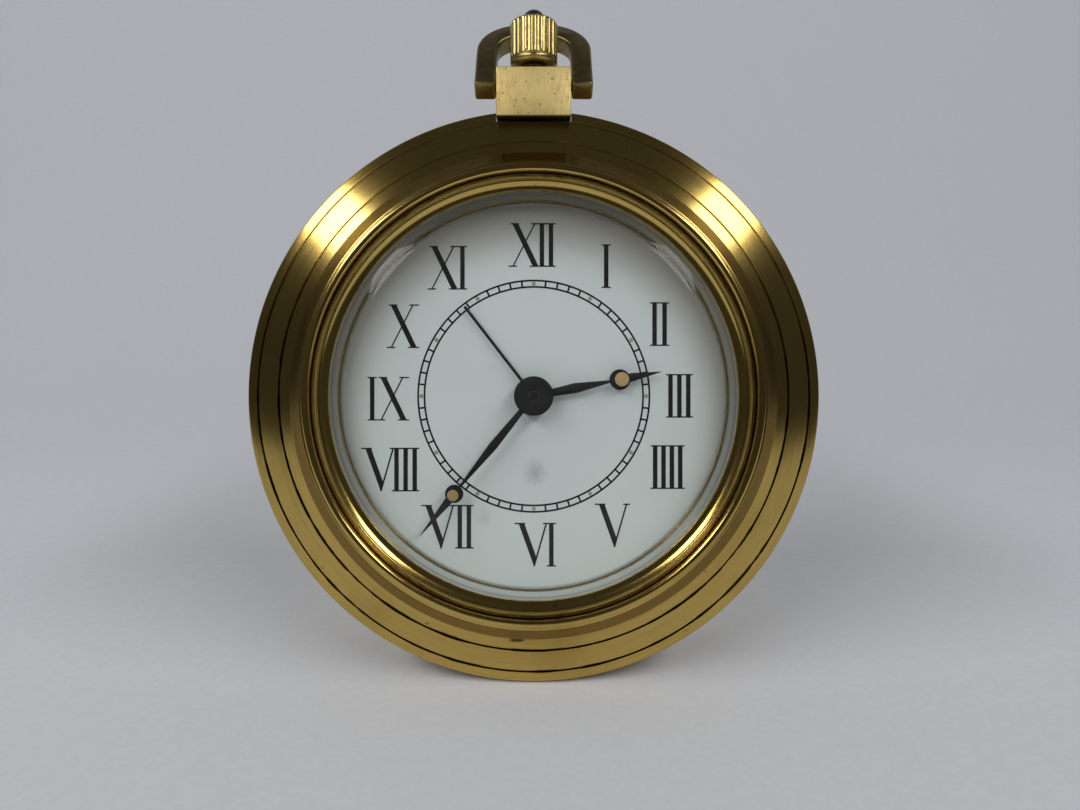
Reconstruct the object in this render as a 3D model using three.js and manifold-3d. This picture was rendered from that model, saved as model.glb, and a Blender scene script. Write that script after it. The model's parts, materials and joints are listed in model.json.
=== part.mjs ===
// A wind-up alarm clock shaped like a pocket watch: a brass bezel with a square neck, a ribbed
// crown and a bow, leaning back on a fold-out strut, with its movement inside.
//
// The clock's own frame has +X right, +Y up the dial and +Z toward the reader, with z = 0 at the
// front of the rim. The finished group leans back and stands on its rim and strut, +Z up.

import * as THREE from 'three';
import { mergeVertices } from 'three/addons/utils/BufferGeometryUtils.js';
import Module from 'manifold-3d';

const wasm = await Module();
wasm.setup();
const radians = THREE.MathUtils.degToRad;

// Clearances, in millimetres.
const seatGap = 0.3;
const runningGap = 0.15;
const meshGap = 0.12;

// Case, in millimetres. Angles are in degrees.
const leanAngle = 12;
const sightRadius = 28.3;
const bezelWidth = 11.7;
const rimThickness = 1.2;
const coneSlope = 0.388;
const grooveShares = [0.746, 0.254];
const grooveWidth = 0.3;
const grooveDepth = 0.3;
const sightHeight = 1.5;
const slopeWidth = 1.9;
const slopeHollow = 0.2;
const beadWidth = 1.4;
const beadHeight = 4.5;
const beadRoll = 0.3;
const beadStep = 0.1;
const bandWidth = 1.6;
const bandHeight = 3.6;
const lipThickness = 0.8;
const lipWidth = 1.7;
const rimOverhang = 4.4;
const bodyWall = 0.8;
const bodyDepth = 22.4;
const bodyCornerRadius = 3.5;
const openingGap = 1;
const coverOverlap = 2.5;
const coverThickness = 0.8;

// Crystal.
const crystalThickness = 1.2;
const crystalDome = 1.4;
const crystalEdgeHeight = 3.5;
const crystalRollRadius = 2.1;
const crystalFlange = 0.8;
const crystalGap = 0.25;
const crystalRingWidth = 1.1;

// Dial and hands.
const dialFront = -3;
const dialThickness = 0.6;
const dialHoleGap = 0.2;
const dialFootRadius = 1.4;
const dialFootInset = 3.5;
const dialTenonRadius = 0.8;
const handDialGap = 0.5;
const handThickness = 0.3;
const handSpacing = 0.7;
const handFit = 0.05;
const lumeGap = 0.06;
const minuteBossHeight = 0.6;
const arborTipHeight = 0.9;
const bossRadius = 2.78;
const minuteAngle = 219.1;
const hourAngle = 79.2;
const alarmAngle = 322.3;
const minuteHandSize = {
  tip: 25.3, lumeAt: 17.7, ringRadius: 1.28, lumeRadius: 0.8, rootWidth: 0.7,
  bladeWidth: 1.25, bladeAt: 9.05, neckWidth: 0.42, spearWidth: 1.25,
};
const hourHandSize = {
  tip: 18.4, lumeAt: 12.4, ringRadius: 1.47, lumeRadius: 0.98, rootWidth: 0.84,
  bladeWidth: 1.4, bladeAt: 6.3, neckWidth: 0.55, spearWidth: 1.4,
};
const alarmHandLength = 16.1;
const alarmHandWidth = 0.42;

// Neck, crown and bow.
const neckWidth = 10.3;
const neckDepth = 11.4;
const neckHeight = 6.95;
const neckInset = 1.6;
const neckFront = 1.8;
const notchGap = 0.25;
const studRadius = 1.9;
const studCollarRadius = 2.4;
const studEngagement = 3;
const studNutHeight = 1;
const studNutGap = 0.2;
const stemRadius = 0.9;
const stemReach = 2.4;
const stemEngagement = 4;
const crownGap = 0.7;
const crownRadius = 3.42;
const crownHeight = 7.9;
const crownCollarRadius = 2;
const crownCollarHeight = 1.2;
const crownBeadHeight = 1.3;
const crownTopRadius = 3.1;
const crownTopSlope = 0.3;
const crownRibs = 20;
const crownRibDepth = 0.26;
const capRadius = 2.15;
const capHeight = 1.9;
const capSeatDepth = 0.6;
const bowBar = 3.0;
const bowSideGap = 0.25;
const bowThickness = 2.8;
const bowReach = 14.15;
const bowEnd = 1.2;
const bowCornerRadius = 6.6;
const bowAngle = 35.5;
const bowPivotDrop = 1.15;
const bowPivotDepth = 4.4;
const bowPinRadius = 0.6;
const bowPinDepth = 1.3;

// Stand on the back.
const strutAngle = 30;
const strutThickness = 1.2;
const strutTopWidth = 8.4;
const strutFootWidth = 26;
const standPlace = -13;
const knuckleRadius = 1.35;
const knuckleLength = 2.4;
const hingePinRadius = 0.7;
const bracketThickness = 0.8;
const bracketReach = 6.5;

// Movement frame.
const plateRadius = 27.5;
const plateThickness = 1.2;
const motionWorkRoom = 3.2;
const coverPostRoom = 2.5;
const pillarInset = 2.8;
const pillarAngles = [90, 200, 300];
const pillarRadius = 1.6;
const pillarTenonRadius = 0.8;
const tenonEngagement = 1.8;
const tenonRoom = 1.2;
const coverScrewRadius = 0.6;
const coverScrewLength = 1.2;
const screwHeadRadius = 1.5;
const screwHeadHeight = 0.8;
const screwSlotWidth = 0.4;
const screwSlotDepth = 0.3;
const pivotRadius = 0.4;
const arborRadius = 0.6;
const palletArborRadius = 0.48;

// Wheels: teeth, module and place of each gear mesh.
const greatTeeth = 36;
const greatModule = 0.6;
const centrePinionTeeth = 9;
const vergePinionTeeth = 8;
const timeBarrelDirection = 158.1;
const alarmBarrelDirection = 25.7;
const barrelGap = 0.67;
const centreTeeth = 44;
const centreModule = 0.45;
const thirdTeeth = 42;
const thirdModule = 0.4;
const fourthTeeth = 42;
const fourthModule = 0.34;
const trainPinionTeeth = 8;
const thirdDirection = 215;
const fourthDirection = 300;
const escapeDirection = 355;
const vergeDirection = 110;
const cannonTeeth = 10;
const minuteTeeth = 30;
const minuteModule = 0.45;
const minutePinionTeeth = 8;
const hourTeeth = 32;
const minuteDirection = 270;
const alarmTeeth = 32;
const alarmSetTeeth = 10;
const alarmModule = 0.56;
const alarmSetDirection = 90;
const wheelThickness = 0.5;
const pinionLength = 1;
const motionWheelGap = 0.4;
// Levels of the wheels between the plates, as shares of the room from the back plate to the front.
const centreWheelShare = 0.091;
const thirdWheelShare = 0.2;
const fourthWheelShare = 0.327;
const escapeWheelShare = 0.536;
const balanceShare = 0.3;
const vergeWheelShare = 0.318;
const alarmDrumShare = 0.473;

// Barrels, springs and winding.
const drumInset = 0.24;
const drumWall = 0.5;
const timeDrumGap = 0.35;
const greatThickness = 0.7;
const greatPlateGap = 0.4;
const greatPinionMargin = 0.1;
const springTurns = 3.5;
const springThickness = 0.5;
const barrelCoreRadius = 1.6;
const windingArborRadius = 1.1;
const keyHubRadius = 2.2;
const keyHubHeight = 2.6;
const keyWidth = 12;
const keyDepth = 4.2;
const keyThickness = 1.3;
const keyCornerRadius = 1.68;
const keyWingRise = 1.2;
const keyBoreDepth = 1.6;
const handKnobRadius = 4;
const handKnobHeight = 3.6;
const alarmKnobRadius = 3;
const alarmKnobHeight = 3;
const knobRibs = 12;
const knobRibDepth = 0.25;
const knobBoreDepth = 2.2;

// Motion work and its pipes.
const centreArborRadius = 0.9;
const handArborRadius = 0.55;
const pipeWall = 0.4;
const minutePipe = 1;
const hourPipe = 2;
const alarmPipe = 3;
const alarmSetArborRadius = 0.7;

// Escapement and balance.
const escapeTeeth = 15;
const escapeRadius = 4.2;
const vergeTeeth = 16;
const vergeRadius = 4;
const toothDepthShare = 0.24;
const palletSpan = 2.5;
const palletWidth = 0.3;
const palletLength = 0.7;
const palletArmWidth = 0.5;
const palletHubRadius = 0.9;
const palletClearance = 0.1;
const escapeLineDirection = 30;
const vergeLineDirection = 165;
const balanceDirection = 54.7;
const balanceGap = 0.5;
const balanceRadius = 6;
const balanceRimWidth = 0.7;
const balanceRimHeight = 0.6;
const balanceArmWidth = 0.9;
const rollerDrop = 1;
const rollerRadius = 1.25;
const rollerPinPlace = 0.95;
const rollerPinRadius = 0.18;
const forkWidth = 0.9;
const forkSlotWidth = 0.5;
const forkSlotDepth = 0.8;
const forkGap = 0.2;
const hairspringRadius = 3.8;
const hairspringTurns = 3;
const hairspringThickness = 0.16;
const hairspringHeight = 0.4;
const hairspringRise = 1.1;
const regulatorLength = 5;
const regulatorThickness = 0.45;
const regulatorGap = 0.18;
const regulatorWidth = 0.7;
const regulatorHubRadius = 1.5;
const hammerWallGap = 1;
const hammerDirection = 75;
const hammerHeadRadius = 1.6;
const hammerHeadLength = 4;
const hammerArmWidth = 1;
const leverInset = 2.34;
const leverDirection = 69;
const leverDialGap = 1;
const leverThickness = 0.4;
const leverWidth = 1.4;
const leverFingerGap = 2.1;
const leverFingerRoom = 1.2;
const leverFingerEnd = 0.1;
const leverFingerSize = 0.7;
const leverTabHeight = 0.48;
const leverTabReach = 0.63;

// Facets round a full turn of the rim, and of large, middle, small and tiny round pieces.
const rimFacets = 48;
const largeFacets = 36;
const middleFacets = 20;
const smallFacets = 10;
const tinyFacets = 8;
const springSteps = 12;
const bowSteps = 8;
const keySteps = 4;
const mergeDistance = 1e-4;

// How far a cutting tool passes the piece it cuts, and how deep joined shapes enter each other.
const cutMargin = 1;
const joinDepth = 0.1;

// Radii that several pieces share, worked outward from the crystal's edge and inward from the rim.
const rimRadius = sightRadius + bezelWidth;
const beadRadius = sightRadius + slopeWidth + beadWidth / 2;
const bandInnerRadius = beadRadius + beadWidth / 2 + beadStep;
const coneInnerRadius = bandInnerRadius + bandWidth;
const boreRadius = sightRadius + lipWidth;
const bodyRadius = rimRadius - rimOverhang;
const bodyInnerRadius = bodyRadius - bodyWall;
const skirtRadius = bodyInnerRadius - seatGap;
const bodyOpeningRadius = plateRadius + openingGap;
const coverRadius = bodyOpeningRadius + coverOverlap;
const pillarCircle = plateRadius - pillarInset;
const dialFootCircle = plateRadius - dialFootInset;

// Levels that several pieces share, worked out from the sizes above.
const rimBack = -rimThickness;
const sightBack = sightHeight - lipThickness;
const crystalTop = sightBack - seatGap;
const crystalBottom = crystalTop - crystalFlange;
const dialBack = dialFront - dialThickness;
const skirtEnd = dialBack - seatGap;
const bodyFront = rimBack - seatGap;
const coverFront = -bodyDepth - seatGap;
const coverBack = coverFront - coverThickness;
const outsideLevel = coverBack - seatGap;
const frontPlateFace = dialBack - motionWorkRoom;
const frontPlateBack = frontPlateFace - plateThickness;
const backPlateBack = coverFront + coverPostRoom;
const backPlateFront = backPlateBack + plateThickness;
const alarmHandBack = dialFront + handDialGap;
const hourHandBack = alarmHandBack + handSpacing;
const minuteHandBack = hourHandBack + handSpacing;
const cannonLevel = frontPlateFace + wheelThickness + motionWheelGap;
const hourLevel = cannonLevel + wheelThickness + seatGap;
const alarmLevel = hourLevel + wheelThickness + motionWheelGap;
const greatLevel = frontPlateBack - greatPlateGap;
const greatBack = greatLevel - greatThickness;
const levelAt = (share) => backPlateFront + (frontPlateBack - backPlateFront) * share;
const centreWheelLevel = levelAt(centreWheelShare);
const thirdWheelLevel = levelAt(thirdWheelShare);
const fourthWheelLevel = levelAt(fourthWheelShare);
const escapeWheelLevel = levelAt(escapeWheelShare);
const balanceLevel = levelAt(balanceShare);
const vergeWheelLevel = levelAt(vergeWheelShare);
const timeDrumEnd = thirdWheelLevel + wheelThickness / 2 + timeDrumGap;
const alarmDrumEnd = levelAt(alarmDrumShare);

// Places up the neck: stud, block, crown and bow.
const crownAxis = neckFront - neckDepth / 2 - seatGap / 2;
const studBottom = bodyInnerRadius - studNutGap - studNutHeight;
const stemBottom = studBottom - stemReach;
const neckBottom = rimRadius - neckInset;
const neckTop = neckBottom + neckHeight;
const studTop = neckBottom + studEngagement;
const crownBottom = neckTop + crownGap;
const crownTop = crownBottom + crownHeight + capHeight;
const bowPivot = { y: neckTop - bowPivotDrop, z: neckFront - bowPivotDepth };
const bowHalfWidth = neckWidth / 2 + bowSideGap + bowBar;

// Colours and finishes of the materials.
const finishes = {
  brass: { color: 0xb08d4f, roughness: 0.35, metalness: 1 },
  darkBrass: { color: 0x5d5236, roughness: 0.4, metalness: 1 },
  steel: { color: 0x8d9196, roughness: 0.3, metalness: 1 },
  blueSteel: { color: 0x39435c, roughness: 0.3, metalness: 1 },
  blackPaint: { color: 0x1c1a18, roughness: 0.5, metalness: 0 },
  dialWhite: { color: 0xe9e7e0, roughness: 0.5, metalness: 0 },
  lume: { color: 0xe1be82, roughness: 0.8, metalness: 0 },
  crystal: { color: 0xf4f6f4, roughness: 0.05, metalness: 0, transparent: true, opacity: 0.3 },
};

// Measures a closed mesh's volume, which is negative where its faces point inward.
function signedVolume(geometry) {
  const place = geometry.attributes.position;
  const index = geometry.index.array;
  const a = new THREE.Vector3();
  const b = new THREE.Vector3();
  const c = new THREE.Vector3();
  let total = 0;
  for (let i = 0; i < index.length; i += 3) {
    a.fromBufferAttribute(place, index[i]);
    b.fromBufferAttribute(place, index[i + 1]);
    c.fromBufferAttribute(place, index[i + 2]);
    total += a.dot(b.cross(c)) / 6;
  }
  return total;
}

// Merges shared corners, drops triangles without area and turns the faces outward.
function closed(geometry) {
  geometry.deleteAttribute('normal');
  geometry.deleteAttribute('uv');
  const merged = mergeVertices(geometry, mergeDistance);
  const index = merged.index.array;
  const kept = [];
  for (let i = 0; i < index.length; i += 3) {
    const [a, b, c] = [index[i], index[i + 1], index[i + 2]];
    if (a !== b && b !== c && c !== a) kept.push(a, b, c);
  }
  merged.setIndex(kept);
  if (signedVolume(merged) < 0) {
    for (let i = 0; i < kept.length; i += 3) {
      [kept[i + 1], kept[i + 2]] = [kept[i + 2], kept[i + 1]];
    }
    merged.setIndex(kept);
  }
  merged.computeVertexNormals();
  return merged;
}

function toSolid(geometry) {
  return new wasm.Manifold(new wasm.Mesh({
    numProp: 3,
    vertProperties: new Float32Array(geometry.attributes.position.array),
    triVerts: new Uint32Array(geometry.index.array),
  }));
}

function toGeometry(solid) {
  const mesh = solid.getMesh();
  const geometry = new THREE.BufferGeometry();
  geometry.setAttribute('position', new THREE.BufferAttribute(mesh.vertProperties, 3));
  geometry.setIndex(new THREE.BufferAttribute(mesh.triVerts, 1));
  geometry.computeVertexNormals();
  return geometry;
}

function join(first, ...others) {
  return toGeometry(others.reduce((sum, other) => sum.add(toSolid(other)), toSolid(first)));
}

function cut(body, ...tools) {
  return toGeometry(tools.reduce((rest, tool) => rest.subtract(toSolid(tool)), toSolid(body)));
}

// A profile of [radius, z] corners turned about the z axis, with a facet square to each axis.
function turned(profile, facets) {
  const corners = profile.map(([radius, z]) => new THREE.Vector2(radius, z));
  const geometry = new THREE.LatheGeometry(corners, facets);
  geometry.rotateX(Math.PI / 2);
  geometry.rotateZ(Math.PI / facets);
  return closed(geometry);
}

function rod(radius, bottom, top, facets) {
  return turned([[0, bottom], [radius, bottom], [radius, top], [0, top]], facets);
}

function tube(inner, outer, bottom, top, facets) {
  const corners = [[inner, bottom], [outer, bottom], [outer, top], [inner, top], [inner, bottom]];
  return turned(corners, facets);
}

// An outline drawn in x and y, given thickness from one level to another.
function plate(shape, bottom, top) {
  const geometry = new THREE.ExtrudeGeometry(shape, { depth: top - bottom, bevelEnabled: false });
  geometry.translate(0, 0, bottom);
  return closed(geometry);
}

function block(x0, x1, y0, y1, z0, z1) {
  const geometry = new THREE.BoxGeometry(x1 - x0, y1 - y0, z1 - z0);
  geometry.translate((x0 + x1) / 2, (y0 + y1) / 2, (z0 + z1) / 2);
  return closed(geometry);
}

// The corners of a polygon that a circle of the given radius fits inside.
function roundCorners(radius, facets, x = 0, y = 0) {
  const reach = radius / Math.cos(Math.PI / facets);
  return Array.from({ length: facets }, (_, i) => {
    const angle = ((i + 0.5) * 2 * Math.PI) / facets;
    return new THREE.Vector2(x + reach * Math.cos(angle), y + reach * Math.sin(angle));
  });
}

// A round plate with round holes, each given as { x, y, radius }.
function drilledDisc(radius, facets, holes, bottom, top) {
  const shape = new THREE.Shape(roundCorners(radius * Math.cos(Math.PI / facets), facets));
  for (const hole of holes) {
    shape.holes.push(new THREE.Path(roundCorners(hole.radius, tinyFacets, hole.x, hole.y)));
  }
  return plate(shape, bottom, top);
}

// Pulls every second column of corners inward between two levels, which leaves upright ribs.
function ribbed(geometry, ribs, depth, bottom, top, innerRadius) {
  const place = geometry.attributes.position;
  for (let i = 0; i < place.count; i += 1) {
    const [x, y, z] = [place.getX(i), place.getY(i), place.getZ(i)];
    const radius = Math.hypot(x, y);
    const column = Math.round((Math.atan2(y, x) * ribs) / Math.PI - 0.5);
    if (column % 2 === 0 && z > bottom && z < top && radius > innerRadius) {
      const share = (radius - depth) / radius;
      place.setXYZ(i, x * share, y * share, z);
    }
  }
  return closed(geometry);
}

// The outline of a toothed wheel with its first tooth on +x. The shares are parts of the pitch.
function toothed(teeth, inner, outer, rootShare, tipShare) {
  const pitch = (2 * Math.PI) / teeth;
  const tip = tipShare > 0 ? [[outer, -tipShare / 2], [outer, tipShare / 2]] : [[outer, 0]];
  const corners = [[inner, -rootShare / 2], ...tip, [inner, rootShare / 2]];
  const points = [];
  for (let tooth = 0; tooth < teeth; tooth += 1) {
    for (const [radius, share] of corners) {
      const angle = (tooth + share) * pitch;
      points.push(new THREE.Vector2(radius * Math.cos(angle), radius * Math.sin(angle)));
    }
  }
  return new THREE.Shape(points);
}

// A wheel has pointed teeth and a pinion has blunt, narrower leaves.
const wheelTooth = { root: 1.1, tip: 0.85, rootShare: 0.86, tipShare: 0 };
const pinionTooth = { root: 1.15, tip: 0.5, rootShare: 0.46, tipShare: 0.2 };

function rootRadius(teeth, module, tooth) {
  return module * (teeth / 2 - tooth.root);
}

function tipRadius(teeth, module, tooth) {
  return module * (teeth / 2 + tooth.tip);
}

// A gear wheel or pinion. A bore radius of zero leaves it whole.
function gear(teeth, module, tooth, bore, bottom, top) {
  const shape = toothed(
    teeth, rootRadius(teeth, module, tooth), tipRadius(teeth, module, tooth), tooth.rootShare,
    tooth.tipShare);
  if (bore > 0) shape.holes.push(new THREE.Path(roundCorners(bore, smallFacets)));
  return plate(shape, bottom, top);
}

// A flat ribbon wound in a spiral from one radius to another.
function spiral(innerRadius, outerRadius, turns, thickness, stepsPerTurn, bottom, top) {
  const steps = Math.round(turns * stepsPerTurn);
  const edge = (offset) => Array.from({ length: steps + 1 }, (_, i) => {
    const share = i / steps;
    const radius = innerRadius + (outerRadius - innerRadius) * share + offset;
    const angle = share * turns * 2 * Math.PI;
    return new THREE.Vector2(radius * Math.cos(angle), radius * Math.sin(angle));
  });
  const corners = [...edge(thickness / 2), ...edge(-thickness / 2).reverse()];
  return plate(new THREE.Shape(corners), bottom, top);
}

function stepFrom(start, distance, direction) {
  return {
    x: start.x + distance * Math.cos(radians(direction)),
    y: start.y + distance * Math.sin(radians(direction)),
  };
}

function gearDistance(teethA, teethB, module) {
  return ((teethA + teethB) * module) / 2 + meshGap;
}

// How far a line from a place in a direction runs before it meets a circle about the centre.
function reachToCircle(start, direction, radius) {
  const along = start.x * Math.cos(radians(direction)) + start.y * Math.sin(radians(direction));
  const square = start.x * start.x + start.y * start.y;
  return Math.sqrt(along * along - square + radius * radius) - along;
}

// The turn that puts the follower's gap where the driver has a tooth on the line between them.
function meshingPhase(driver, driverTeeth, driverPhase, follower, followerTeeth) {
  const line = Math.atan2(follower.y - driver.y, follower.x - driver.x);
  const driverShare = ((line - driverPhase) * driverTeeth) / (2 * Math.PI);
  return line + Math.PI - ((0.5 - driverShare) * 2 * Math.PI) / followerTeeth;
}

const clock = new THREE.Group();
clock.rotation.x = radians(90 - leanAngle);

function add(name, geometry, finish, place = {}, parent = clock) {
  const mesh = new THREE.Mesh(geometry, new THREE.MeshStandardMaterial(finishes[finish]));
  mesh.name = name;
  mesh.position.set(place.x ?? 0, place.y ?? 0, place.z ?? 0);
  mesh.rotation.z = place.turn ?? 0;
  parent.add(mesh);
  return mesh;
}

// Places of the arbors, and the phase of the teeth on each.
const centre = { x: 0, y: 0 };
const timeBarrelDistance = gearDistance(greatTeeth, centrePinionTeeth, greatModule);
const timeBarrel = stepFrom(centre, timeBarrelDistance, timeBarrelDirection);
const thirdDistance = gearDistance(centreTeeth, trainPinionTeeth, centreModule);
const third = stepFrom(centre, thirdDistance, thirdDirection);
const fourthDistance = gearDistance(thirdTeeth, trainPinionTeeth, thirdModule);
const fourth = stepFrom(third, fourthDistance, fourthDirection);
const escapeDistance = gearDistance(fourthTeeth, trainPinionTeeth, fourthModule);
const escape = stepFrom(fourth, escapeDistance, escapeDirection);
const palletDistance = escapeRadius + palletHubRadius + palletClearance;
const pallet = stepFrom(escape, palletDistance, escapeLineDirection);
const balanceDistance = balanceRadius + palletArborRadius + balanceGap;
const balance = stepFrom(pallet, balanceDistance, balanceDirection);
const alarmBarrelDistance = tipRadius(greatTeeth, greatModule, wheelTooth)
  + tipRadius(centrePinionTeeth, greatModule, pinionTooth) + barrelGap;
const alarmBarrel = stepFrom(centre, alarmBarrelDistance, alarmBarrelDirection);
const vergeDistance = gearDistance(greatTeeth, vergePinionTeeth, greatModule);
const verge = stepFrom(alarmBarrel, vergeDistance, vergeDirection);
const hammerDistance = vergeRadius + palletHubRadius + palletClearance;
const hammer = stepFrom(verge, hammerDistance, vergeLineDirection);
const minuteArbor = stepFrom(
  centre, gearDistance(cannonTeeth, minuteTeeth, minuteModule), minuteDirection);
const alarmSet = stepFrom(
  centre, gearDistance(alarmTeeth, alarmSetTeeth, alarmModule), alarmSetDirection);
const hourModule = (2 * (gearDistance(cannonTeeth, minuteTeeth, minuteModule) - meshGap))
  / (minutePinionTeeth + hourTeeth);
const pillars = pillarAngles.map((angle) => stepFrom(centre, pillarCircle, angle));
const leverPivot = stepFrom(centre, plateRadius - leverInset, leverDirection);

const centrePhase = meshingPhase(timeBarrel, greatTeeth, 0, centre, centrePinionTeeth);
const thirdPhase = meshingPhase(centre, centreTeeth, centrePhase, third, trainPinionTeeth);
const fourthPhase = meshingPhase(third, thirdTeeth, thirdPhase, fourth, trainPinionTeeth);
const escapePhase = meshingPhase(fourth, fourthTeeth, fourthPhase, escape, trainPinionTeeth);
const vergePhase = meshingPhase(alarmBarrel, greatTeeth, 0, verge, vergePinionTeeth);
const minutePhase = meshingPhase(centre, cannonTeeth, 0, minuteArbor, minuteTeeth);
const hourPhase = meshingPhase(minuteArbor, minutePinionTeeth, minutePhase, centre, hourTeeth);
const alarmSetPhase = meshingPhase(centre, alarmTeeth, 0, alarmSet, alarmSetTeeth);

// Bezel: a turned ring with a notch for the neck and a gap in its skirt for the stem.
function coneHeight(radius) {
  return (rimRadius - radius) * coneSlope;
}

function groove(radius) {
  const half = grooveWidth / 2;
  return [
    [radius + half, coneHeight(radius + half)],
    [radius, coneHeight(radius) - grooveDepth],
    [radius - half, coneHeight(radius - half)],
  ];
}

function makeBezel() {
  const grooves = grooveShares.map((share) => coneInnerRadius + (rimRadius - coneInnerRadius) * share);
  const beadShoulder = beadHeight - beadRoll;
  const profile = [
    [rimRadius, rimBack],
    [rimRadius, 0],
    ...grooves.flatMap(groove),
    [coneInnerRadius, coneHeight(coneInnerRadius)],
    [bandInnerRadius, bandHeight],
    [beadRadius + beadWidth / 2, beadShoulder],
    [beadRadius, beadHeight],
    [beadRadius - beadWidth / 2, beadShoulder],
    [sightRadius + slopeWidth / 2 - slopeHollow, (beadShoulder + sightHeight) / 2 + slopeHollow / 4],
    [sightRadius, sightHeight],
    [sightRadius, sightBack],
    [boreRadius, sightBack],
    [boreRadius, skirtEnd],
    [skirtRadius, skirtEnd],
    [skirtRadius, rimBack],
    [rimRadius, rimBack],
  ];
  const notchHalf = neckWidth / 2 + runningGap;
  const notch = block(
    -notchHalf, notchHalf, neckBottom - notchGap, neckTop, rimBack - cutMargin, beadHeight);
  const gapHalf = studCollarRadius + seatGap;
  const gap = block(
    -gapHalf, gapHalf, boreRadius - cutMargin, bodyRadius, skirtEnd - cutMargin, rimBack);
  add('bezel', cut(turned(profile, rimFacets), notch, gap), 'brass');
}

// Crystal: a domed clear window with a rolled edge, seated behind the bezel's lip.
const crystalWall = sightRadius - crystalGap;

function crystalProfile(wallRadius, rollRadius, edgeHeight, dome) {
  const flat = wallRadius - rollRadius;
  const rollCentre = edgeHeight - rollRadius * 0.75;
  return [
    [0, edgeHeight + dome],
    [flat / 2, edgeHeight + dome * 0.75],
    [flat, edgeHeight],
    [wallRadius - rollRadius * 0.3, rollCentre + rollRadius * 0.52],
    [wallRadius, rollCentre],
  ];
}

function makeCrystal() {
  const outer = crystalProfile(crystalWall, crystalRollRadius, crystalEdgeHeight, crystalDome);
  const inner = crystalProfile(
    crystalWall - crystalThickness, crystalRollRadius - crystalThickness * 0.7,
    crystalEdgeHeight - crystalThickness, crystalDome);
  const flangeRadius = boreRadius - seatGap;
  const profile = [
    ...outer,
    [crystalWall, crystalTop],
    [flangeRadius, crystalTop],
    [flangeRadius, crystalBottom],
    [crystalWall - crystalThickness, crystalBottom],
    ...inner.reverse(),
  ];
  add('crystal', turned(profile, largeFacets), 'crystal');
}

function makeCrystalRing() {
  const outer = boreRadius - seatGap;
  const geometry = tube(
    outer - crystalRingWidth, outer, dialFront + seatGap, crystalBottom - seatGap, largeFacets);
  add('crystal_ring', geometry, 'brass');
}

// Dial: a disc on two shouldered feet that enter the front plate.
const dialFeet = [{ x: -dialFootCircle, y: 0 }, { x: dialFootCircle, y: 0 }];

function makeDial() {
  const shape = new THREE.Shape(roundCorners(boreRadius - seatGap * 1.5, largeFacets));
  const hole = pipeRadius(hourPipe) + pipeWall + dialHoleGap;
  shape.holes.push(new THREE.Path(roundCorners(hole, middleFacets)));
  const disc = plate(shape, dialBack, dialFront);
  const feet = dialFeet.map(({ x, y }) => {
    const profile = [
      [0, frontPlateBack + seatGap],
      [dialTenonRadius, frontPlateBack + seatGap],
      [dialTenonRadius, frontPlateFace + seatGap],
      [dialFootRadius, frontPlateFace + seatGap],
      [dialFootRadius, dialBack + joinDepth],
      [0, dialBack + joinDepth],
    ];
    return turned(profile, tinyFacets).translate(x, y, 0);
  });
  add('dial', join(disc, ...feet), 'dialWhite');
}

// Radius of the hole that runs on a pipe of the centre arbor. Pipes are counted outward.
function pipeRadius(pipe) {
  return handArborRadius + runningGap + pipe * (runningGap + pipeWall);
}

// Hands point along +y before they are turned. A luminous hand has a leaf, a ring and a spear.
function makeLuminousHand(name, size, angle, back, bore, bossHeight) {
  const neckAt = size.lumeAt - size.ringRadius * 0.9;
  const spearAt = size.lumeAt + size.ringRadius * 1.25;
  const leaf = new THREE.Shape([
    new THREE.Vector2(size.rootWidth / 2, 0),
    new THREE.Vector2(size.bladeWidth / 2, size.bladeAt),
    new THREE.Vector2(size.neckWidth / 2, neckAt),
    new THREE.Vector2(-size.neckWidth / 2, neckAt),
    new THREE.Vector2(-size.bladeWidth / 2, size.bladeAt),
    new THREE.Vector2(-size.rootWidth / 2, 0),
  ]);
  const spear = new THREE.Shape([
    new THREE.Vector2(size.neckWidth / 2, size.lumeAt + size.ringRadius * 0.9),
    new THREE.Vector2(size.spearWidth / 2, spearAt),
    new THREE.Vector2(0, size.tip),
    new THREE.Vector2(-size.spearWidth / 2, spearAt),
    new THREE.Vector2(-size.neckWidth / 2, size.lumeAt + size.ringRadius * 0.9),
  ]);
  const front = back + handThickness;
  const ring = rod(size.ringRadius, back, front, smallFacets).translate(0, size.lumeAt, 0);
  const boss = rod(bossRadius, back, back + bossHeight, middleFacets);
  const solid = join(plate(leaf, back, front), plate(spear, back, front), ring, boss);
  const window = rod(size.lumeRadius + lumeGap, back - cutMargin, front + cutMargin, smallFacets);
  window.translate(0, size.lumeAt, 0);
  const hole = rod(bore + handFit, back - cutMargin, back + bossHeight + cutMargin, smallFacets);
  const place = { turn: -radians(angle) };
  add(`${name}_hand`, cut(solid, window, hole), 'blackPaint', place);
  const lume = rod(size.lumeRadius, back, front, smallFacets).translate(0, size.lumeAt, 0);
  add(`${name}_hand_lume`, lume, 'lume', place);
}

function makeAlarmHand() {
  const half = alarmHandWidth / 2;
  const front = alarmHandBack + handThickness;
  const strip = block(-half, half, 0, alarmHandLength, alarmHandBack, front);
  const boss = rod(bossRadius, alarmHandBack, front, middleFacets);
  const hole = rod(
    pipeRadius(alarmPipe) + handFit, alarmHandBack - cutMargin, front + cutMargin, smallFacets);
  add('alarm_hand', cut(join(strip, boss), hole), 'blackPaint', { turn: -radians(alarmAngle) });
}

// Case body: a thin drawn cup, open at the front, with a rounded rear corner and a rear flange.
function cornerArc(radius, centreRadius, centreLevel, steps) {
  return Array.from({ length: steps + 1 }, (_, i) => {
    const angle = (i / steps) * (Math.PI / 2);
    return [centreRadius + radius * Math.cos(angle), centreLevel - radius * Math.sin(angle)];
  });
}

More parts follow.
